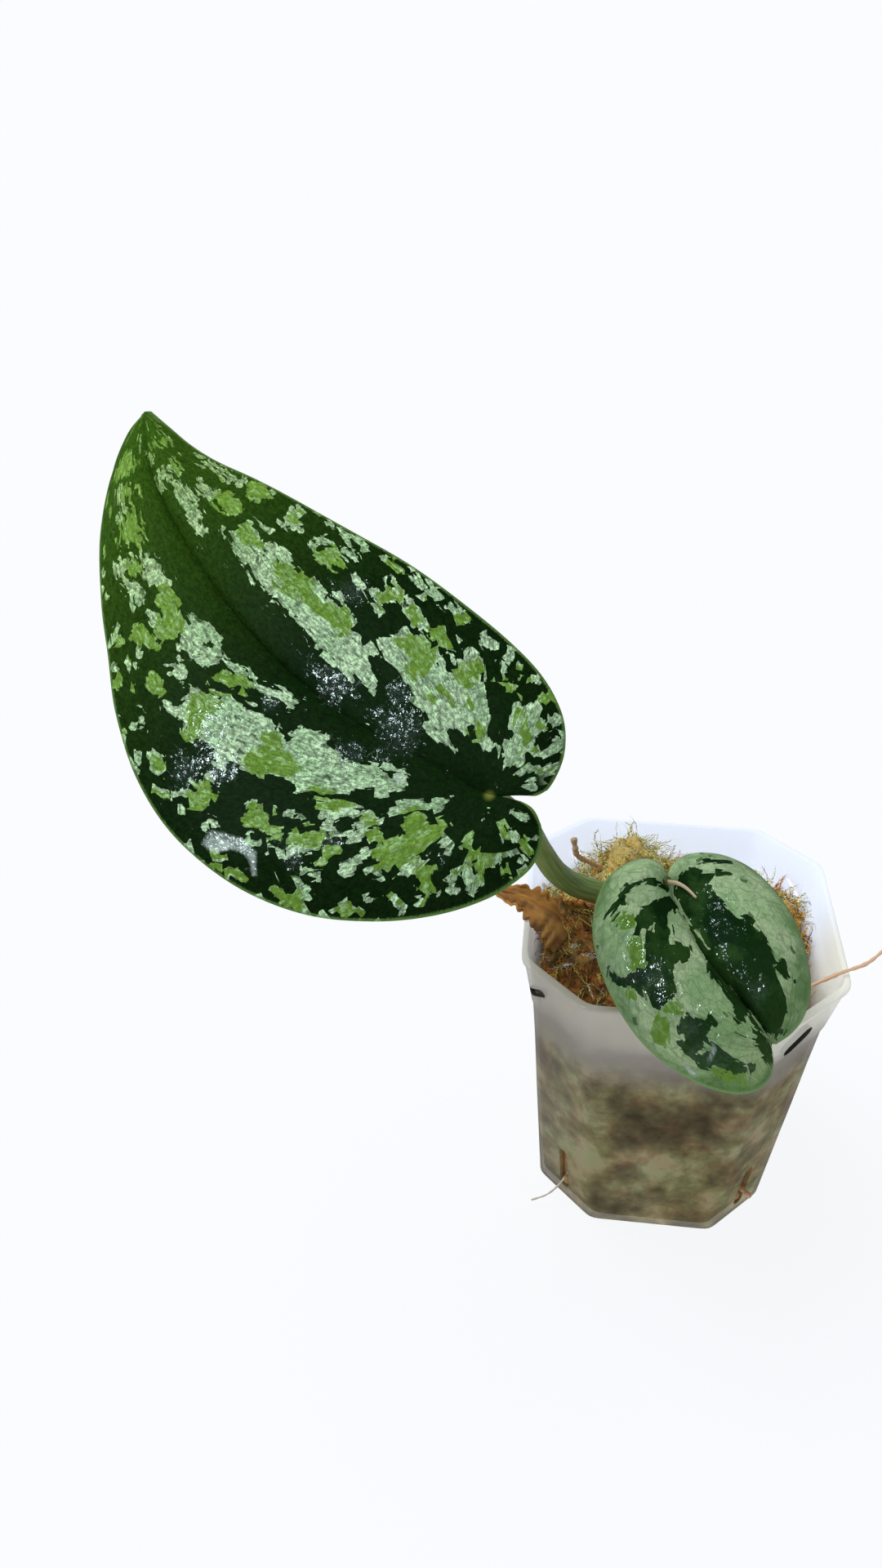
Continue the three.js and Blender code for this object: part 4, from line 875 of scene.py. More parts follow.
def seen_behind(finish, place, x):
    """The moss as it shows through the milky wall: mottles, the named stains, and haze at the left."""
    patch = finish.math("MULTIPLY_ADD", finish.noise(place, 62.0, 6.0, 0.62), 0.98, 0.04)
    small = finish.noise(place, 210.0, 3.0, 0.55)
    patch = finish.math("MULTIPLY_ADD", small, 0.52, finish.math("SUBTRACT", patch, 0.26))
    for across, height, radius, paler in STAINS:
        middle = (across * MM, STAINED_WALL * MM, height * MM)
        away = finish.vector("DISTANCE", place, middle, output="Value")
        patch = finish.math("ADD", patch, finish.remap(away, 0.0, radius * MM, paler, 0.0))
    behind = finish.ramp(patch, [(0.26, tint(84, 70, 50)), (0.42, tint(118, 106, 80)),
                                 (0.51, tint(142, 131, 100)), (0.58, tint(160, 153, 118)),
                                 (0.68, tint(192, 187, 158))])
    moist = finish.remap(finish.noise(place, 44.0, 2.0, 0.5), 0.4, 0.6, 0.0, 0.6)
    behind = finish.mix(moist, behind, finish.mix(1.0, behind, tint(238, 240, 214), "MULTIPLY"))
    warm = finish.remap(finish.noise(place, 130.0, 3.0, 0.6), 0.44, 0.6)
    hue = finish.mix(warm, tint(240, 246, 224), tint(250, 234, 216))
    behind = finish.mix(1.0, behind, hue, "MULTIPLY")
    return finish.mix(finish.remap(x, -0.036, -0.014, 0.4, 0.0), behind, tint(158, 150, 146))


def pot_finish():
    """Milky plastic: clear above the moss, and clouded by what lies behind it below; its upper wall at the
    back and right glows as painted light through the plastic.
    """
    finish = Finish("milky pot plastic", Roughness=0.3, IOR=1.45, Specular_IOR_Level=0.4,
                    Emission_Strength=0.48)
    place = finish.object_place()
    x, y, z = finish.axes(place)
    cloud = finish.noise(place, 90.0, 4.0, 0.6, 0.4)
    level = finish.math("MULTIPLY_ADD", cloud, 0.014, z)
    colour = finish.mix(finish.remap(level, 0.058, 0.072), seen_behind(finish, place, x), tint(170, 164, 154))
    side = finish.math("MULTIPLY_ADD", y, 0.6, x)
    free = finish.remap(finish.math("MAXIMUM", side, y), -0.012, 0.004)
    upper = finish.remap(level, 0.07, 0.081)
    far = finish.remap(y, -0.01, 0.02)
    pale = finish.mix(free, tint(222, 220, 208), finish.mix(far, tint(222, 222, 212), tint(212, 224, 252)))
    clearer = finish.math("MULTIPLY_ADD", far, -0.26, -0.24)
    # Painted light: the upper wall at the back and right glows, brighter and bluer at the back, as if lit
    # through the plastic.
    painted_glow = finish.mix(far, tint(170, 172, 164), tint(206, 224, 255))
    finish.set("Base Color", finish.mix(upper, colour, pale))
    finish.set("Alpha", finish.math("MULTIPLY_ADD", upper, clearer, 0.8))
    finish.set("Emission Color", finish.mix(finish.math("MULTIPLY", upper, free), tint(0, 0, 0), painted_glow))
    finish.set("Normal", finish.bump(finish.noise(place, 120.0, 2.0, 0.5), 0.0004, 0.4))
    return finish.material


# Each blade's own greens, silvers and limes, the pale ones for its paler parts, and how its marks and
# its water look.
LARGE_FACE = {
    "dark": tint(14, 35, 13), "pale_dark": tint(62, 100, 26), "silver": tint(178, 213, 172),
    "pale_silver": tint(152, 188, 112), "lime": tint(114, 156, 62), "pale_lime": tint(120, 164, 64),
    "margin": tint(104, 146, 74), "seams": 0.35, "contrast": 1.35, "flecks": 1.0, "ragged": 1.0,
    "dullest": 0.84, "green_edge": 0.0, "damp": 0.0, "ripple_depth": 0.0003, "ripple_scale": 1200.0,
}
SMALL_FACE = {
    "dark": tint(16, 42, 17), "pale_dark": tint(56, 92, 40), "silver": tint(176, 204, 158),
    "pale_silver": tint(122, 156, 92), "lime": tint(104, 146, 56), "pale_lime": tint(112, 150, 64),
    "margin": tint(120, 156, 100), "seams": 0.25, "contrast": 0.35, "flecks": 0.0, "ragged": 0.65,
    "dullest": 0.66, "green_edge": 0.65, "damp": 0.5, "ripple_depth": 0.0007, "ripple_scale": 520.0,
}
leaf_face = leaf_face_finish("leaf face", LARGE_FACE)
small_face = leaf_face_finish("small leaf face", SMALL_FACE)
leaf_back = plain_leaf_finish("leaf underside", tint(104, 138, 84), tint(124, 158, 104), 0.5)
leaf_rim = plain_leaf_finish("leaf margin", tint(124, 160, 96), tint(146, 178, 118), 0.45)
stalk_green = fleshy_finish(
    "leaf stalk", tint(92, 120, 58), tint(132, 154, 96), tint(190, 166, 100), 78, 88)
stem_green = fleshy_finish("vine stem", tint(84, 108, 52), tint(120, 136, 78), tint(134, 92, 44), 60, 80)
root_skin = fleshy_finish(
    "root skin", tint(222, 170, 128), tint(240, 206, 174), tint(250, 160, 56), 4, 14, 0.6, 4.0)
pale_thread = fleshy_finish(
    "pale root", tint(206, 200, 186), tint(226, 220, 206), tint(200, 180, 150), 2, 8, 0.6, 4.0)
pale_twig = fleshy_finish(
    "twig bark", tint(176, 144, 108), tint(204, 176, 140), tint(120, 84, 50), 60, 80, 0.8, 8.0)
dry_skin = fleshy_finish(
    "dry remains", tint(142, 90, 36), tint(190, 138, 66), tint(98, 60, 26), 70, 80, 0.8, 5.0)
scale_skin = fleshy_finish(
    "dry scale", tint(178, 158, 128), tint(204, 186, 156), tint(166, 136, 104), 60, 80, 0.6, 4.0)
# The front slots' cut faces: dark grey at the collar, painted shade in the slot; orange-tan lower down, like
# the moss at the foot.
slot_shade_and_moss = fleshy_finish(
    "slot shade and moss", tint(66, 62, 60), tint(86, 82, 78), tint(206, 170, 108), 30, 40, 0.7, 6.0)
moss_packed = moss_body_finish()
moss_sprigs = sprig_finish()
pot_plastic = pot_finish()


# The pot

def octagon_reach(half, turn, sharp=60.0):
    """How far a square with cut corners reaches in one direction, its edges slightly rounded."""
    cut = (2 * half - POT["corner"] * (half / POT["rim"]) ** 0.15) / math.sqrt(2)
    total = np.zeros(np.broadcast(half, turn).shape)
    for k in range(8):
        reach = half if k % 2 == 0 else cut
        total = total + np.maximum(np.cos(turn - k * math.pi / 4) / reach * 30, 0) ** sharp
    return 30 / total ** (1 / sharp)


def inner_half(z):
    """Half the pot's width inside its wall, at a height."""
    collar = np.interp(z, [POT["shoulder"], POT["height"]], [POT["collar_foot"], POT["rim"]])
    wall = np.interp(z, [0, POT["shoulder"]], [POT["foot"], POT["waist"]])
    return np.where(z > POT["shoulder"], collar, wall) - POT["wall"]


def slot_place(slot, corner, inward=0.0):
    """Where a slot lies in its cut corner: its length along x, out of the pot along z."""
    turn = math.pi / 4 + corner * math.pi / 2
    out = (2 * float(inner_half(slot["z"])) - POT["corner"]) / math.sqrt(2) - inward
    return (Matrix.Rotation(turn, 4, "Z") @ Matrix.Translation((out, 0, slot["z"]))
            @ Matrix.Rotation(math.pi / 2, 4, "Z") @ Matrix.Rotation(math.pi / 2, 4, "X")
            @ Matrix.Translation((slot["aside"], 0, 0)) @ Matrix.Rotation(slot["slant"], 4, "Z"))


def slot_cutter(slot, corner):
    """A round-ended bar through one cut corner; its faces give a front slot's edge its own finish, painted
    shade at the collar.
    """
    bm = bmesh.new()
    half, depth = slot["width"] / 2, 12
    reach = (slot["length"] - slot["width"]) / 2
    for end in (-reach, reach):
        bmesh.ops.create_cone(bm, cap_ends=True, segments=20, radius1=half, radius2=half, depth=depth,
                              matrix=Matrix.Translation((end, 0, 0)))
    bmesh.ops.create_cube(bm, size=1, matrix=Matrix.Diagonal((2 * reach, slot["width"], depth, 1)))
    bmesh.ops.transform(bm, verts=bm.verts, matrix=slot_place(slot, corner))
    for face in bm.faces:
        face.material_index = int(corner in FRONT_CORNERS)
    return bm


def cut_with(piece, cutters):
    """Cuts the cutters' shapes out of a piece, and applies the cut."""
    mesh = bpy.data.meshes.new("cutters")
    bm = bmesh.new()
    for cutter in cutters:
        part = bpy.data.meshes.new("cutter")
        cutter.to_mesh(part)
        cutter.free()
        bm.from_mesh(part)
        bpy.data.meshes.remove(part)
    bmesh.ops.scale(bm, vec=(MM, MM, MM), verts=bm.verts)
    bm.to_mesh(mesh)
    bm.free()
    for material in piece.data.materials:
        mesh.materials.append(material)
    tool = bpy.data.objects.new("cutters", mesh)
    bpy.context.scene.collection.objects.link(tool)
    cut = piece.modifiers.new("slots", "BOOLEAN")
    cut.object = tool
    cut.operation = "DIFFERENCE"
    cut.solver = "EXACT"
    cut.use_self = True
    shown = piece.evaluated_get(bpy.context.evaluated_depsgraph_get())
    result = bpy.data.meshes.new_from_object(shown)
    piece.modifiers.clear()
    piece.data = result
    bpy.data.objects.remove(tool)


def pot_profile():
    """The wall's outline as (half width, height), from the middle below, round the lip and back inside."""
    wall, floor, top = POT["wall"], POT["floor"], POT["height"]
    foot, waist, rim, lip = POT["foot"], POT["waist"], POT["rim"], POT["lip"]
    lip_foot = top - POT["lip_depth"]
    collar, collar_middle = POT["collar_foot"], POT["collar_middle"]
    corners = [
        (0, 0), (foot - 6, 0), (foot - 0.7, 0), (foot, 0.7), *POT["swell"],
        (waist - 0.05, POT["shoulder"] - 1), (collar - 0.1, POT["shoulder"] + 1.2), collar_middle,
        (rim - 0.2, lip_foot - 0.8), (lip - 0.1, lip_foot), (lip, lip_foot + 0.5), (lip, top - 0.3),
        (lip - 0.3, top), (rim - wall + 0.2, top), (rim - wall, top - 0.3),
        (collar_middle[0] - wall, collar_middle[1]), (collar - wall, POT["shoulder"] + 1.4),
        (waist - wall, POT["shoulder"] - 0.6), *[(half - wall, z) for half, z in reversed(POT["swell"])],
        (foot - wall, floor + 0.8), (foot - wall - 0.8, floor), (foot - 8, floor), (0, floor),
    ]
    rows = []
    for (h0, z0), (h1, z1) in zip(corners, corners[1:]):
        count = max(1, round(math.hypot(h1 - h0, z1 - z0) / 4))
        rows += [(h0 + (h1 - h0) * i / count, z0 + (z1 - z0) * i / count) for i in range(count)]
    return np.array(rows + [corners[-1]])


def make_pot():
    """The pot's wall, rolled from a grid by its profile, with slots cut through its corners."""
    rows = pot_profile()
    bm, side, share = sheet_grid(192, len(rows) - 1)
    half, z = rows[np.rint(share * (len(rows) - 1)).astype(int)].T
    turn = math.pi * side
    reach = np.where(half < 1e-6, 0, octagon_reach(np.maximum(half, 1e-6), turn))
    place_all(bm, np.column_stack([reach * np.cos(turn), reach * np.sin(turn), z]))
    bmesh.ops.remove_doubles(bm, verts=bm.verts, dist=1e-3)
    pot = finish_mesh("nursery_pot", bm, [pot_plastic, slot_shade_and_moss], "pot")
    slots = [(slot, corner) for corner in range(4) for slot in (RIM_SLOTS[corner], FOOT_SLOT)]
    cut_with(pot, [slot_cutter(slot, corner) for slot, corner in slots])


make_pot()


# The moss

def moss_level(x, y):
    """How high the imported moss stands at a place."""
    heaped = sum(height * np.exp(-((x - hx) ** 2 + (y - hy) ** 2) / (2 * spread * spread))
                 for hx, hy, height, spread in MOSS["heaps"])
    uneven = np.sin(0.55 * x + 1.3) * np.cos(0.62 * y) + 0.6 * np.sin(1.1 * x + 0.9 * y)
    return MOSS["level"] + MOSS["rise"] * y + heaped + MOSS["relief"] * uneven


def rough_offset(points, scale, amount):
    """Uneven lumps of about one scale, as a height at each point."""
    return amount * np.array([noise.fractal(Vector(p) / scale, 0.6, 2.1, 4) for p in points.tolist()])


def make_moss_body():
    """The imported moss: rolled from a grid inside the pot's wall, with a lumpy top."""
    low = POT["floor"] + CLEARANCE
    rows = [(share, low) for share in np.linspace(0, 1, 8)[:-1]]
    rows += [(1, z) for z in np.linspace(low, MOSS["level"] - 4, 26)]
    rows += [(share, 100) for share in np.linspace(1, 0, 46)[1:]]
    rows = np.array(rows)
    bm, side, along = sheet_grid(200, len(rows) - 1)
    turn = math.pi * side
    share, z = rows[np.rint(along * (len(rows) - 1)).astype(int)].T
    on_top = z > 90
    half = inner_half(np.where(on_top, MOSS["level"], z)) - CLEARANCE
    reach = share * octagon_reach(half, turn)
    x, y = reach * np.cos(turn), reach * np.sin(turn)
    level = moss_level(x, y) - 3 * share**12
    points = np.column_stack([x, y, np.where(on_top, level, z)])
    lift = rough_offset(points, 6.0, 2.4) + rough_offset(points, 2.0, 1.1)
    points[:, 2] += np.where(on_top, lift * np.clip((1 - share) * 12, 0, 1), 0)
    place_all(bm, points)
    bmesh.ops.remove_doubles(bm, verts=bm.verts, dist=1e-3)
    return bm


# The sprigs' hues, and for each part of the pot how many more stand there, how they rise, how long and
# how light they are, and how often each hue comes up.
MOSS_HUES = {
    "brown": (170, 112, 58), "orange": (222, 152, 72), "olive": (190, 170, 84), "cream": (236, 226, 170),
    "lime": (216, 212, 122), "dark": (112, 72, 38),
}
MOSS_PARTS = {
    "left": {"more": 0, "rise": (-0.1, 0.9), "length": 1, "light": 1.22,
             "odds": [0.42, 0.22, 0.1, 0.08, 0.02, 0.16]},
    "back": {"more": 0, "rise": (0.3, 1.1), "length": 1.15, "light": 1,
             "odds": [0.03, 0.12, 0.34, 0.19, 0.31, 0.01]},
    "right": {"more": 0.6, "rise": (0.3, 1.1), "length": 1.15, "light": 1,
              "odds": [0.1, 0.36, 0.28, 0.13, 0.1, 0.03]},
    "middle": {"more": 0, "rise": (-0.1, 0.9), "length": 1, "light": 1,
               "odds": [0.3, 0.2, 0.2, 0.12, 0.08, 0.1]},
}


def sprig_template(leaves=12):
    """A moss sprig along z from 0 to 1: a thin stem with pointed leaflets turned round it."""
    bm = bmesh.new()
    bmesh.ops.create_cone(bm, cap_ends=True, segments=3, radius1=0.2, radius2=0.0, depth=1,
                          matrix=Matrix.Translation((0, 0, 0.5)))
    for i in range(leaves):
        turn, at = 2.4 * i, (i + 0.5) / leaves
        reach = 1 - 0.55 * at
        out = Vector((math.cos(turn) * reach, math.sin(turn) * reach, 0.13))
        edge = Vector((-math.sin(turn) * 0.3 * reach, math.cos(turn) * 0.3 * reach, 0))
        shape = Matrix((edge, (0, 0, 0.03), out)).transposed().to_4x4()
        place = Matrix.Translation(Vector((0, 0, at * 0.9)) + out / 2)
        bmesh.ops.create_cone(bm, cap_ends=True, segments=3, radius1=1, radius2=0.0, depth=1,
                              matrix=place @ shape)
    bmesh.ops.recalc_face_normals(bm, faces=bm.faces)
    mesh = bpy.data.meshes.new("sprig")
    bm.to_mesh(mesh)
    bm.free()
    return mesh


def add_shade_flake(bm, corner):
    """A dark flake, torn at its edge, behind a slot of the collar: painted shade that shows through the slot.
    """
    slot = RIM_SLOTS[corner]
    shade_flake = bmesh.ops.create_icosphere(bm, subdivisions=3, radius=1)["verts"]
    for vertex in shade_flake:
        turn = math.atan2(vertex.co.y, vertex.co.x)
        vertex.co.xy *= 1 + 0.24 * abs(math.sin(2.5 * turn + 1)) + 0.09 * math.sin(9 * turn)
    place = slot_place({**slot, "slant": 0}, corner, 0.8) @ Matrix.Rotation(0.19, 4, "X")
    size = Matrix.Diagonal((0.5 * slot["length"], 0.55 * slot["width"], 0.35, 1))
    bmesh.ops.transform(bm, verts=shade_flake, matrix=place @ Matrix.Rotation(slot["slant"], 4, "Z") @ size)


def swell_into_foot(bm, corner):
    """Two lumps of moss that swell into a slot at the foot."""
    for along, half in ((3.4, 3.2), (-5.2, 1.6)):
        shape = Matrix.Translation((along, 0, -0.2)) @ Matrix.Diagonal((half, 1.25, 1.0, 1))
        bmesh.ops.create_icosphere(bm, subdivisions=3, radius=1, matrix=slot_place(FOOT_SLOT, corner) @ shape)


def moss_part(x, y):
    """Which part of the pot a place lies in."""
    if x < -8 and y < 12:
        return MOSS_PARTS["left"]
    if y > 14 and x < 20:
        return MOSS_PARTS["back"]
    return MOSS_PARTS["right" if x > 20 else "middle"]


def draw_sprig(random):
    """One sprig's place, size, bend and colour by chance, or nothing where none is to stand."""
    x, y = random.uniform(-35, 35, 2)
    level = float(moss_level(x, y))
    part = moss_part(x, y)
    inside = math.hypot(x, y) < float(octagon_reach(inner_half(level) - 1.5, math.atan2(y, x)))
    kept = random.random() < 0.3 + (level - MOSS["level"]) / 14 + part["more"]
    sprig = {
        "foot": (x, y, level - 1.0), "turn": random.uniform(0, 2 * math.pi),
        "rise": random.uniform(*part["rise"]), "length": random.uniform(3.5, 8.5) * part["length"],
        "width": random.uniform(0.55, 1.15), "bend": random.uniform(-1.2, 1.2),
        "droop": random.uniform(0.2, 1.0), "phase": random.uniform(0, 6),
    }
    pick = int(np.searchsorted(np.cumsum(part["odds"]), random.random() * 0.9999))
    light = random.uniform(0.75, 1.15) * part["light"]
    sprig["colour"] = np.array(list(MOSS_HUES.values())[pick]) * light
    return sprig if inside and kept else None


def sprig_points(template, sprig):
    """A sprig's points, bent and drooping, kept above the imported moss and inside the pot."""
    turn, length, width, phase = sprig["turn"], sprig["length"], sprig["width"], sprig["phase"]
    s = template[:, 2]
    ahead = np.array([math.cos(turn), math.sin(turn), 0.0])
    aside = np.array([-math.sin(turn), math.cos(turn), 0.0])
    wave = np.sin(s * 2.5 + phase) - math.sin(phase)
    centre = np.array(sprig["foot"]) + (s * length * 0.8)[:, None] * ahead
    centre = centre + (wave * sprig["bend"] * length / 5)[:, None] * aside
    centre[:, 2] += length * (sprig["rise"] * s - sprig["droop"] * s**2)
    points = centre + (width * template[:, 0])[:, None] * aside
    points[:, 2] += width * template[:, 1]
    lowest = moss_level(centre[:, 0], centre[:, 1]) - 1.5 + width * template[:, 1]
    points[:, 2] = np.maximum(points[:, 2], lowest)
    x, y, z = points.T
    middle = np.hypot(x, y)
    limit = octagon_reach(inner_half(z) - 0.4, np.arctan2(y, x))
    over = np.maximum(middle - limit, 0) / np.maximum(middle, 1)
    points[:, :2] -= np.where(z < POT["height"] + 1, over, 0)[:, None] * points[:, :2]
    return points


def make_moss(count=2300, seed=11):
    """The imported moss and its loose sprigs, bent and curled, most of them on the heaps."""
    random = np.random.default_rng(seed)
    template_mesh = sprig_template()
    template = np.array([vertex.co for vertex in template_mesh.vertices])
    paler = (0.98 + 0.34 * template[:, 2] + 0.28 * np.hypot(template[:, 0], template[:, 1]))[:, None]
    bm = make_moss_body()
    for corner in FRONT_CORNERS:
        add_shade_flake(bm, corner)
        swell_into_foot(bm, corner)
    plain_faces = len(bm.faces)
    points, hues = [coordinates(bm)], [np.tile(MOSS_HUES["dark"], (len(bm.verts), 1))]
    while len(points) <= count:
        sprig = draw_sprig(random)
        if sprig:
            points.append(sprig_points(template, sprig))
            hues.append(sprig["colour"] * paler)
            bm.from_mesh(template_mesh)
    place_all(bm, np.vstack(points))
    bm.faces.ensure_lookup_table()
    for face in bm.faces[plain_faces:]:
        face.material_index = 1
    moss = finish_mesh("moss_clump", bm, [moss_packed, moss_sprigs], "moss", recalc=False)
    colours = np.clip(np.vstack(hues) / 255, 0, 1) ** 2.2
    colours = np.column_stack([colours, np.ones(len(colours))]).astype(np.float32)
    layer = moss.data.attributes.new("hue", "FLOAT_COLOR", "POINT")
    layer.data.foreach_set("color", colours.ravel())


make_moss()


# Stem, stalks, roots and the twig

def tapered(piece, knobs=0.0, count=9, size=1.0):
    """A radius that tapers along a path, with knobs and, on some, one lump."""
    def radius_at(share, turn):
        plain = size * (piece["radius"] + (piece["tip"] - piece["radius"]) * share)
        plain = plain * (1 + 1.4 * np.exp(-(((share - piece.get("lump", 9)) / 0.03) ** 2)))
        uneven = np.cos(2 * np.pi * count * share + 0.8 * np.sin(turn)) + np.sin(17.3 * count * share**1.3)
        return plain * (1 + knobs * uneven)
    return radius_at


def stem_radius(share, turn):
    """The stem tapers, and swells at its nodes."""
    lumps = np.max([np.exp(-(((share - node) / 0.05) ** 2)) for node in STEM["nodes"]], axis=0)
    return (STEM["radius"] + (STEM["tip"] - STEM["radius"]) * share**3) * (1 + STEM["swell"] * lumps)


def petiole_path(petiole, leaf):
    """The stalk's path, with its top under the blade by the notch."""
    face, length = blade_axes(leaf)[3:]
    share = min(petiole["inset"] / length / FAN["even"], 0.2)
    seat = blade_middle(leaf, np.array([0.0]), np.array([share]))[0]
    top = seat - face * (leaf["thickness"] / 2 + CLEARANCE + 0.1)
    return petiole["path"] + [tuple(top - 2.5 * face), tuple(top)]


tube("vine_stem", STEM["path"], stem_radius, [stem_green], 60, 24, "stem")
tube("stalk_of_large_leaf", petiole_path(LARGE_PETIOLE, LARGE_LEAF), tapered(LARGE_PETIOLE), [stalk_green],
     120, 28, "petiole_large")
tube("stalk_of_small_leaf", petiole_path(SMALL_PETIOLE, SMALL_LEAF), tapered(SMALL_PETIOLE), [stalk_green],
     60, 20, "petiole_small")
for node_name, root in ROOTS.items():
    skin, size = (pale_thread, 0.45) if node_name == "root_foot_left" else (root_skin, 0.64)
    tube(node_name + "_skin", root["path"], tapered(root, 0.16, 9, size), [skin], 110, 12, node_name)
tube("twig_bark", TWIG["path"], tapered(TWIG, 0.1, 5, 0.8), [pale_twig], 60, 12, "twig_dry")


# The dry sheath and scale

def make_sheath():
    """A pointed, cupped, papery strip with a frayed tip."""
    steps = 60
    bm, side, share = sheet_grid(24, steps)
    path = smooth_path(SHEATH["path"], steps)
    ahead = unit(np.gradient(path, axis=0))
    aside = unit(np.cross(ahead, SHEATH["up"]))
    up = np.cross(aside, ahead)
    ring = np.rint(share * steps).astype(int)
    torn = np.sin(31 * share + 2 * side) * np.sin(13 * share) + 0.6 * np.sin(57 * share - side)
    width = SHEATH["width"] * (1 - 0.8 * share**1.6) * (1 + 0.17 * torn * np.minimum(6 * share, 1))
    wrinkle = (0.6 * np.sin(9 * side + 6 * share) + 0.35 * np.sin(21 * side - 9 * share)) * share
    wrinkle = wrinkle + 0.45 * np.sin(23 * share + 3 * side) * np.abs(side)
    bent = SHEATH["cup"] * side**2 * (1 - share) - wrinkle
    place_all(bm, path[ring] + (side * width)[:, None] * aside[ring] - bent[:, None] * up[ring])
    write_uv(bm, "along", side / 2, share * 2)
    sheath = finish_mesh("papery_sheath", bm, [dry_skin], "sheath_dry", recalc=False)
    thicken(sheath, SHEATH["thickness"] / 2)


def make_scale():
    """A narrow dry scale that lies along the small leaf."""
    bm, across, share = sheet_grid(6, 30)
    start, end = np.array(SCALE["start"]), np.array(SCALE["end"])
    side, place = start[:, None] + (end - start)[:, None] * share
    next_side, next_place = start[:, None] + (end - start)[:, None] * (share + 0.02)
    middle = blade_middle(SMALL_LEAF, side, place)
    ahead = unit(blade_middle(SMALL_LEAF, next_side, next_place) - middle)
    normal = blade_normal(SMALL_LEAF, side, place, 0.01)
    aside = unit(np.cross(ahead, normal))
    half = SCALE["width"] / 2 * (1 - 0.7 * share**2)
    lift = (SMALL_LEAF["thickness"] + SCALE["thickness"]) / 2 + CLEARANCE + SCALE["raised"]
    lift = lift - 0.15 * across**2
    place_all(bm, middle + (across * half)[:, None] * aside + lift[:, None] * normal)
    write_uv(bm, "along", across / 2, share)
    scale = finish_mesh("thin_scale", bm, [scale_skin], "scale_dry", recalc=False)
    thicken(scale, SCALE["thickness"] / 2)


make_sheath()
make_scale()


# The leaves

def large_tone(x, y):
    """How pale the green is: dark from the notch to the middle, mid green towards the tip."""
    return np.clip((y - 40) / 60, 0, 1) ** 1.3 * 0.95 + 0.04


def small_tone(x, y):
    """How pale the green is: paler towards the tip and all round the margin."""
    return np.clip(0.12 + 0.5 * (y - 25) / 40 + 0.6 * (np.hypot(x - 2, y - 18) / 27) ** 4, 0, 1)


# Wet spots as (across, along, radius), and films of water as outlines, in the blades' own planes. The films
# are painted pale as the light they mirror; on the small blade they are thin glints, and the small outline on
# the large blade is a pale blemish.
LARGE_WET = [
    (-7, 34, 4), (-5, 19, 5), (-13, 22, 2.6), (0, 24, 2.4), (-38, 41, 3.4), (-18, 39, 2), (-32, 36, 3),
    (6.5, 45, 3.4), (-29, 43, 4), (-33, 15, 2.5), (-26, 12, 2),
]
LARGE_FILM_GLARE_AND_BLEMISH = [
    [(-44.3, 29), (-41.5, 29.5), (-40.7, 28.8), (-39.3, 26.5), (-38, 24.5), (-37.2, 23), (-37.1, 20),
     (-38, 19.2), (-40, 17.5), (-40.7, 18.2), (-39, 20), (-39.2, 22.2), (-40.5, 24), (-42, 25),
     (-43.8, 26.5)],
    [(-10.8, 11.8), (-8.8, 12.2), (-9, 13.9), (-10.6, 13.6)],
]
SMALL_WET = [
    (20.5, 18.5, 5), (18, 9, 4.5), (14, 16.5, 4), (12, 34, 5), (13, 28, 4), (7, 40, 3), (-3, 29.5, 2.5),
]
SMALL_FILM_GLINTS = [
    [(15.4, 36.4), (16.6, 36), (17.4, 34), (17.2, 32.4), (16.6, 34.2)],
    [(9.8, 33), (10.4, 34.6), (12.4, 35.6), (13, 35.2), (11, 33.8), (10.4, 32.8)],
]
large_marks = {
    "silver": lambda x, y: np.minimum(
        signed_distance(LARGE_SILVER, x, y), -signed_distance(LARGE_DARK, x, y)),
    "lime": LARGE_LIME, "tone": large_tone, "wet": LARGE_WET, "film": LARGE_FILM_GLARE_AND_BLEMISH, "quilt": 0.35,
}
small_marks = {
    "silver": lambda x, y: -signed_distance(SMALL_DARK, x, y),
    "lime": SMALL_LIME, "tone": small_tone, "wet": SMALL_WET, "film": SMALL_FILM_GLINTS, "quilt": 0.3,
}
blade("large_blade", LARGE_LEAF, large_marks, 180, 230, [leaf_face, leaf_back, leaf_rim], "leaf_large")
blade("small_blade", SMALL_LEAF, small_marks, 120, 150, [small_face, leaf_back, leaf_rim], "leaf_small")


# Floor, light and camera
FLOOR_HALF = 30.0
GLINT_LAMPS = [
    ("glint lamp 1", (-0.46, -0.43, 1.06), 0.26, 6),
    ("glint lamp 2", (-0.77, -0.76, 0.68), 0.4, 16),
]


def make_floor():
    """A pale floor that glows softly, and less so in what mirrors it."""
    bm = bmesh.new()
    bmesh.ops.create_grid(bm, x_segments=1, y_segments=1, size=FLOOR_HALF)
    mesh = bpy.data.meshes.new("floor")
    bm.to_mesh(mesh)
    bm.free()
    floor = bpy.data.objects.new("floor", mesh)
    bpy.context.scene.collection.objects.link(floor)
    finish = Finish("pale floor", Roughness=0.9, Emission_Color=tint(252, 253, 255), Specular_IOR_Level=0.0)
    cloud = finish.noise(finish.object_place(), 3.0, 2.0, 0.5)
    finish.set("Base Color", finish.mix(cloud, tint(78, 78, 80), tint(72, 74, 80)))
    glossy = finish.add("LightPath", {}).outputs["Is Glossy Ray"]
    finish.set("Emission Strength", finish.math("MULTIPLY_ADD", glossy, -0.78, 0.92))
    mesh.materials.append(finish.material)


def aimed(name, data, place, target):
    """A lamp in the scene that points at a place."""
    lamp = bpy.data.objects.new(name, data)
    lamp.location = place
    lamp.rotation_euler = (Vector(target) - Vector(place)).to_track_quat("-Z", "Y").to_euler()
    bpy.context.scene.collection.objects.link(lamp)
    return lamp


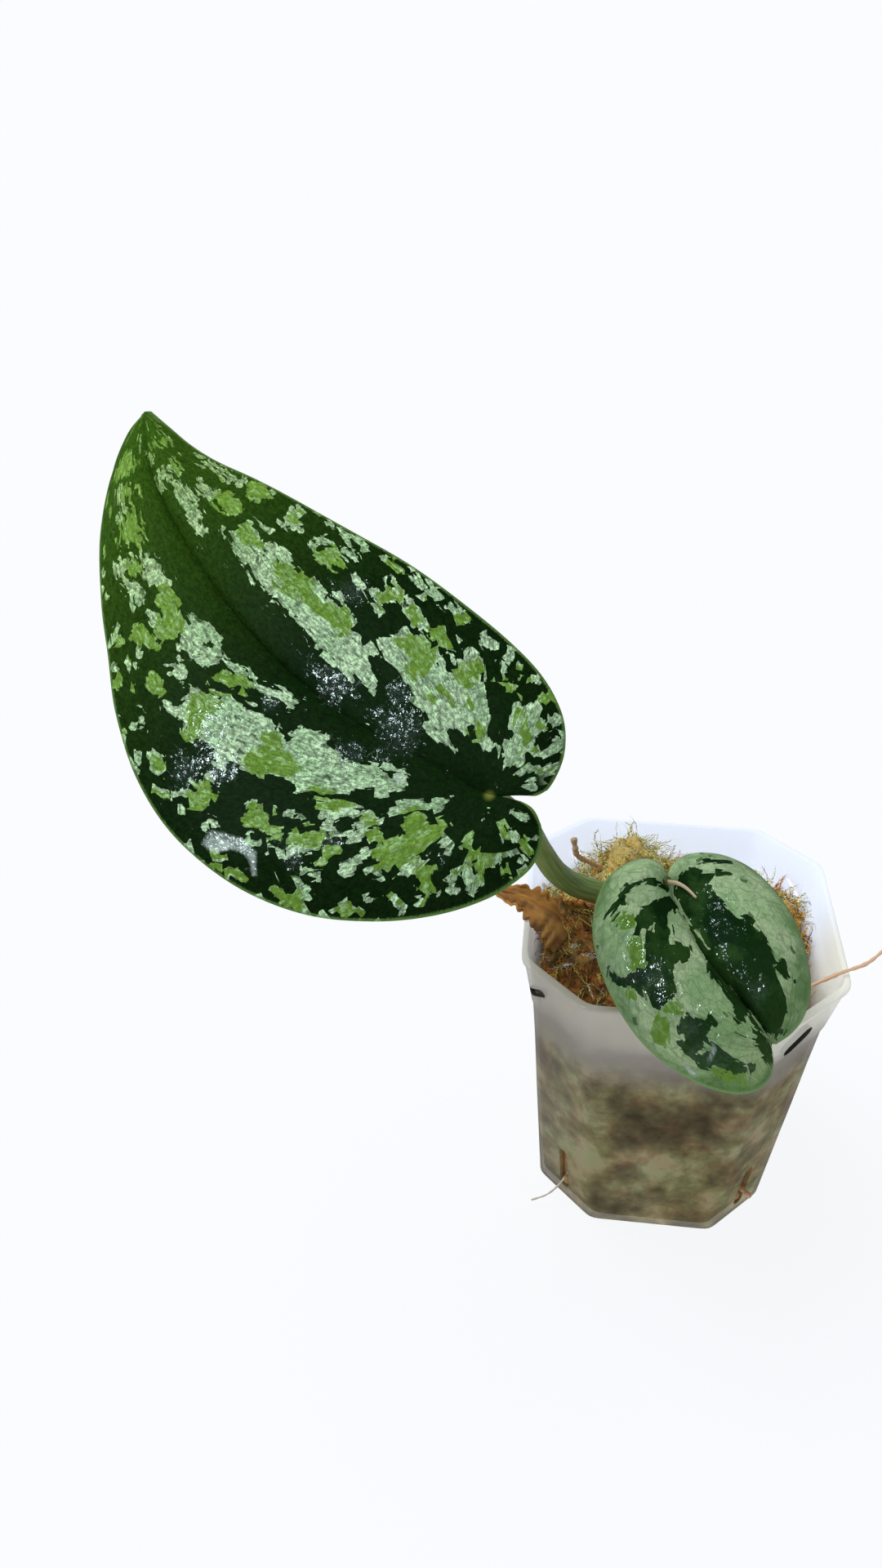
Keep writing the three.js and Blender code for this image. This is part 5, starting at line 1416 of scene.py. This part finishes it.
def make_lights():
    """A broad soft key from above, and two lamps that only the wet places throw back as glints."""
    key = bpy.data.lights.new("soft key", "SUN")
    key.energy = 2.3
    key.angle = 0.7
    aimed("soft key", key, (-0.5, 0.1, 1.2), (0, 0, 0.1)).visible_glossy = False
    for name, place, size, power in GLINT_LAMPS:
        spark = bpy.data.lights.new(name, "AREA")
        spark.shape = "DISK"
        spark.color = tint(226, 250, 252)[:3]
        spark.size = size
        spark.energy = power
        aimed(name, spark, place, (-0.05, -0.03, 0.13)).visible_diffuse = False


def make_world():
    """White to the camera, softer to matt surfaces and dim to glossy ones, so that dark leaf stays dark."""
    world = bpy.data.worlds.new("studio")
    world.use_nodes = True
    nodes, links = world.node_tree.nodes, world.node_tree.links
    light = nodes["Background"]
    light.inputs[0].default_value = tint(251, 252, 255)
    path = nodes.new("ShaderNodeLightPath")
    glossy = nodes.new("ShaderNodeMapRange")
    glossy.inputs[3].default_value = 0.3
    glossy.inputs[4].default_value = 0.07
    links.new(path.outputs["Is Glossy Ray"], glossy.inputs[0])
    strength = nodes.new("ShaderNodeMath")
    strength.operation = "MAXIMUM"
    links.new(path.outputs["Is Camera Ray"], strength.inputs[0])
    links.new(glossy.outputs[0], strength.inputs[1])
    links.new(strength.outputs[0], light.inputs[1])
    bpy.context.scene.world = world


# The camera, for a frame of 1080 by 1920 pixels.
FRAME_HEIGHT = 1920
FOCAL_PIXELS = 1500
SENSOR = 36.0
CAMERA_PLACE = (-34, -240, 270.5)
PITCH, ROLL, YAW = math.radians(33), math.radians(0.73), math.radians(6)


def make_camera():
    """The camera that took the photo, in its place."""
    data = bpy.data.cameras.new("camera")
    data.sensor_width = SENSOR
    data.lens = FOCAL_PIXELS / FRAME_HEIGHT * SENSOR
    data.clip_start = 0.01
    data.clip_end = 200
    camera = bpy.data.objects.new("camera", data)
    turn = Matrix.Rotation(YAW, 4, "Z") @ Matrix.Rotation(math.pi / 2 - PITCH, 4, "X")
    turn = turn @ Matrix.Rotation(ROLL, 4, "Z")
    camera.matrix_world = Matrix.Translation(Vector(CAMERA_PLACE) * MM) @ turn
    bpy.context.scene.collection.objects.link(camera)
    bpy.context.scene.camera = camera


make_floor()
make_world()
make_lights()
make_camera()
bpy.context.scene.view_settings.view_transform = "Standard"
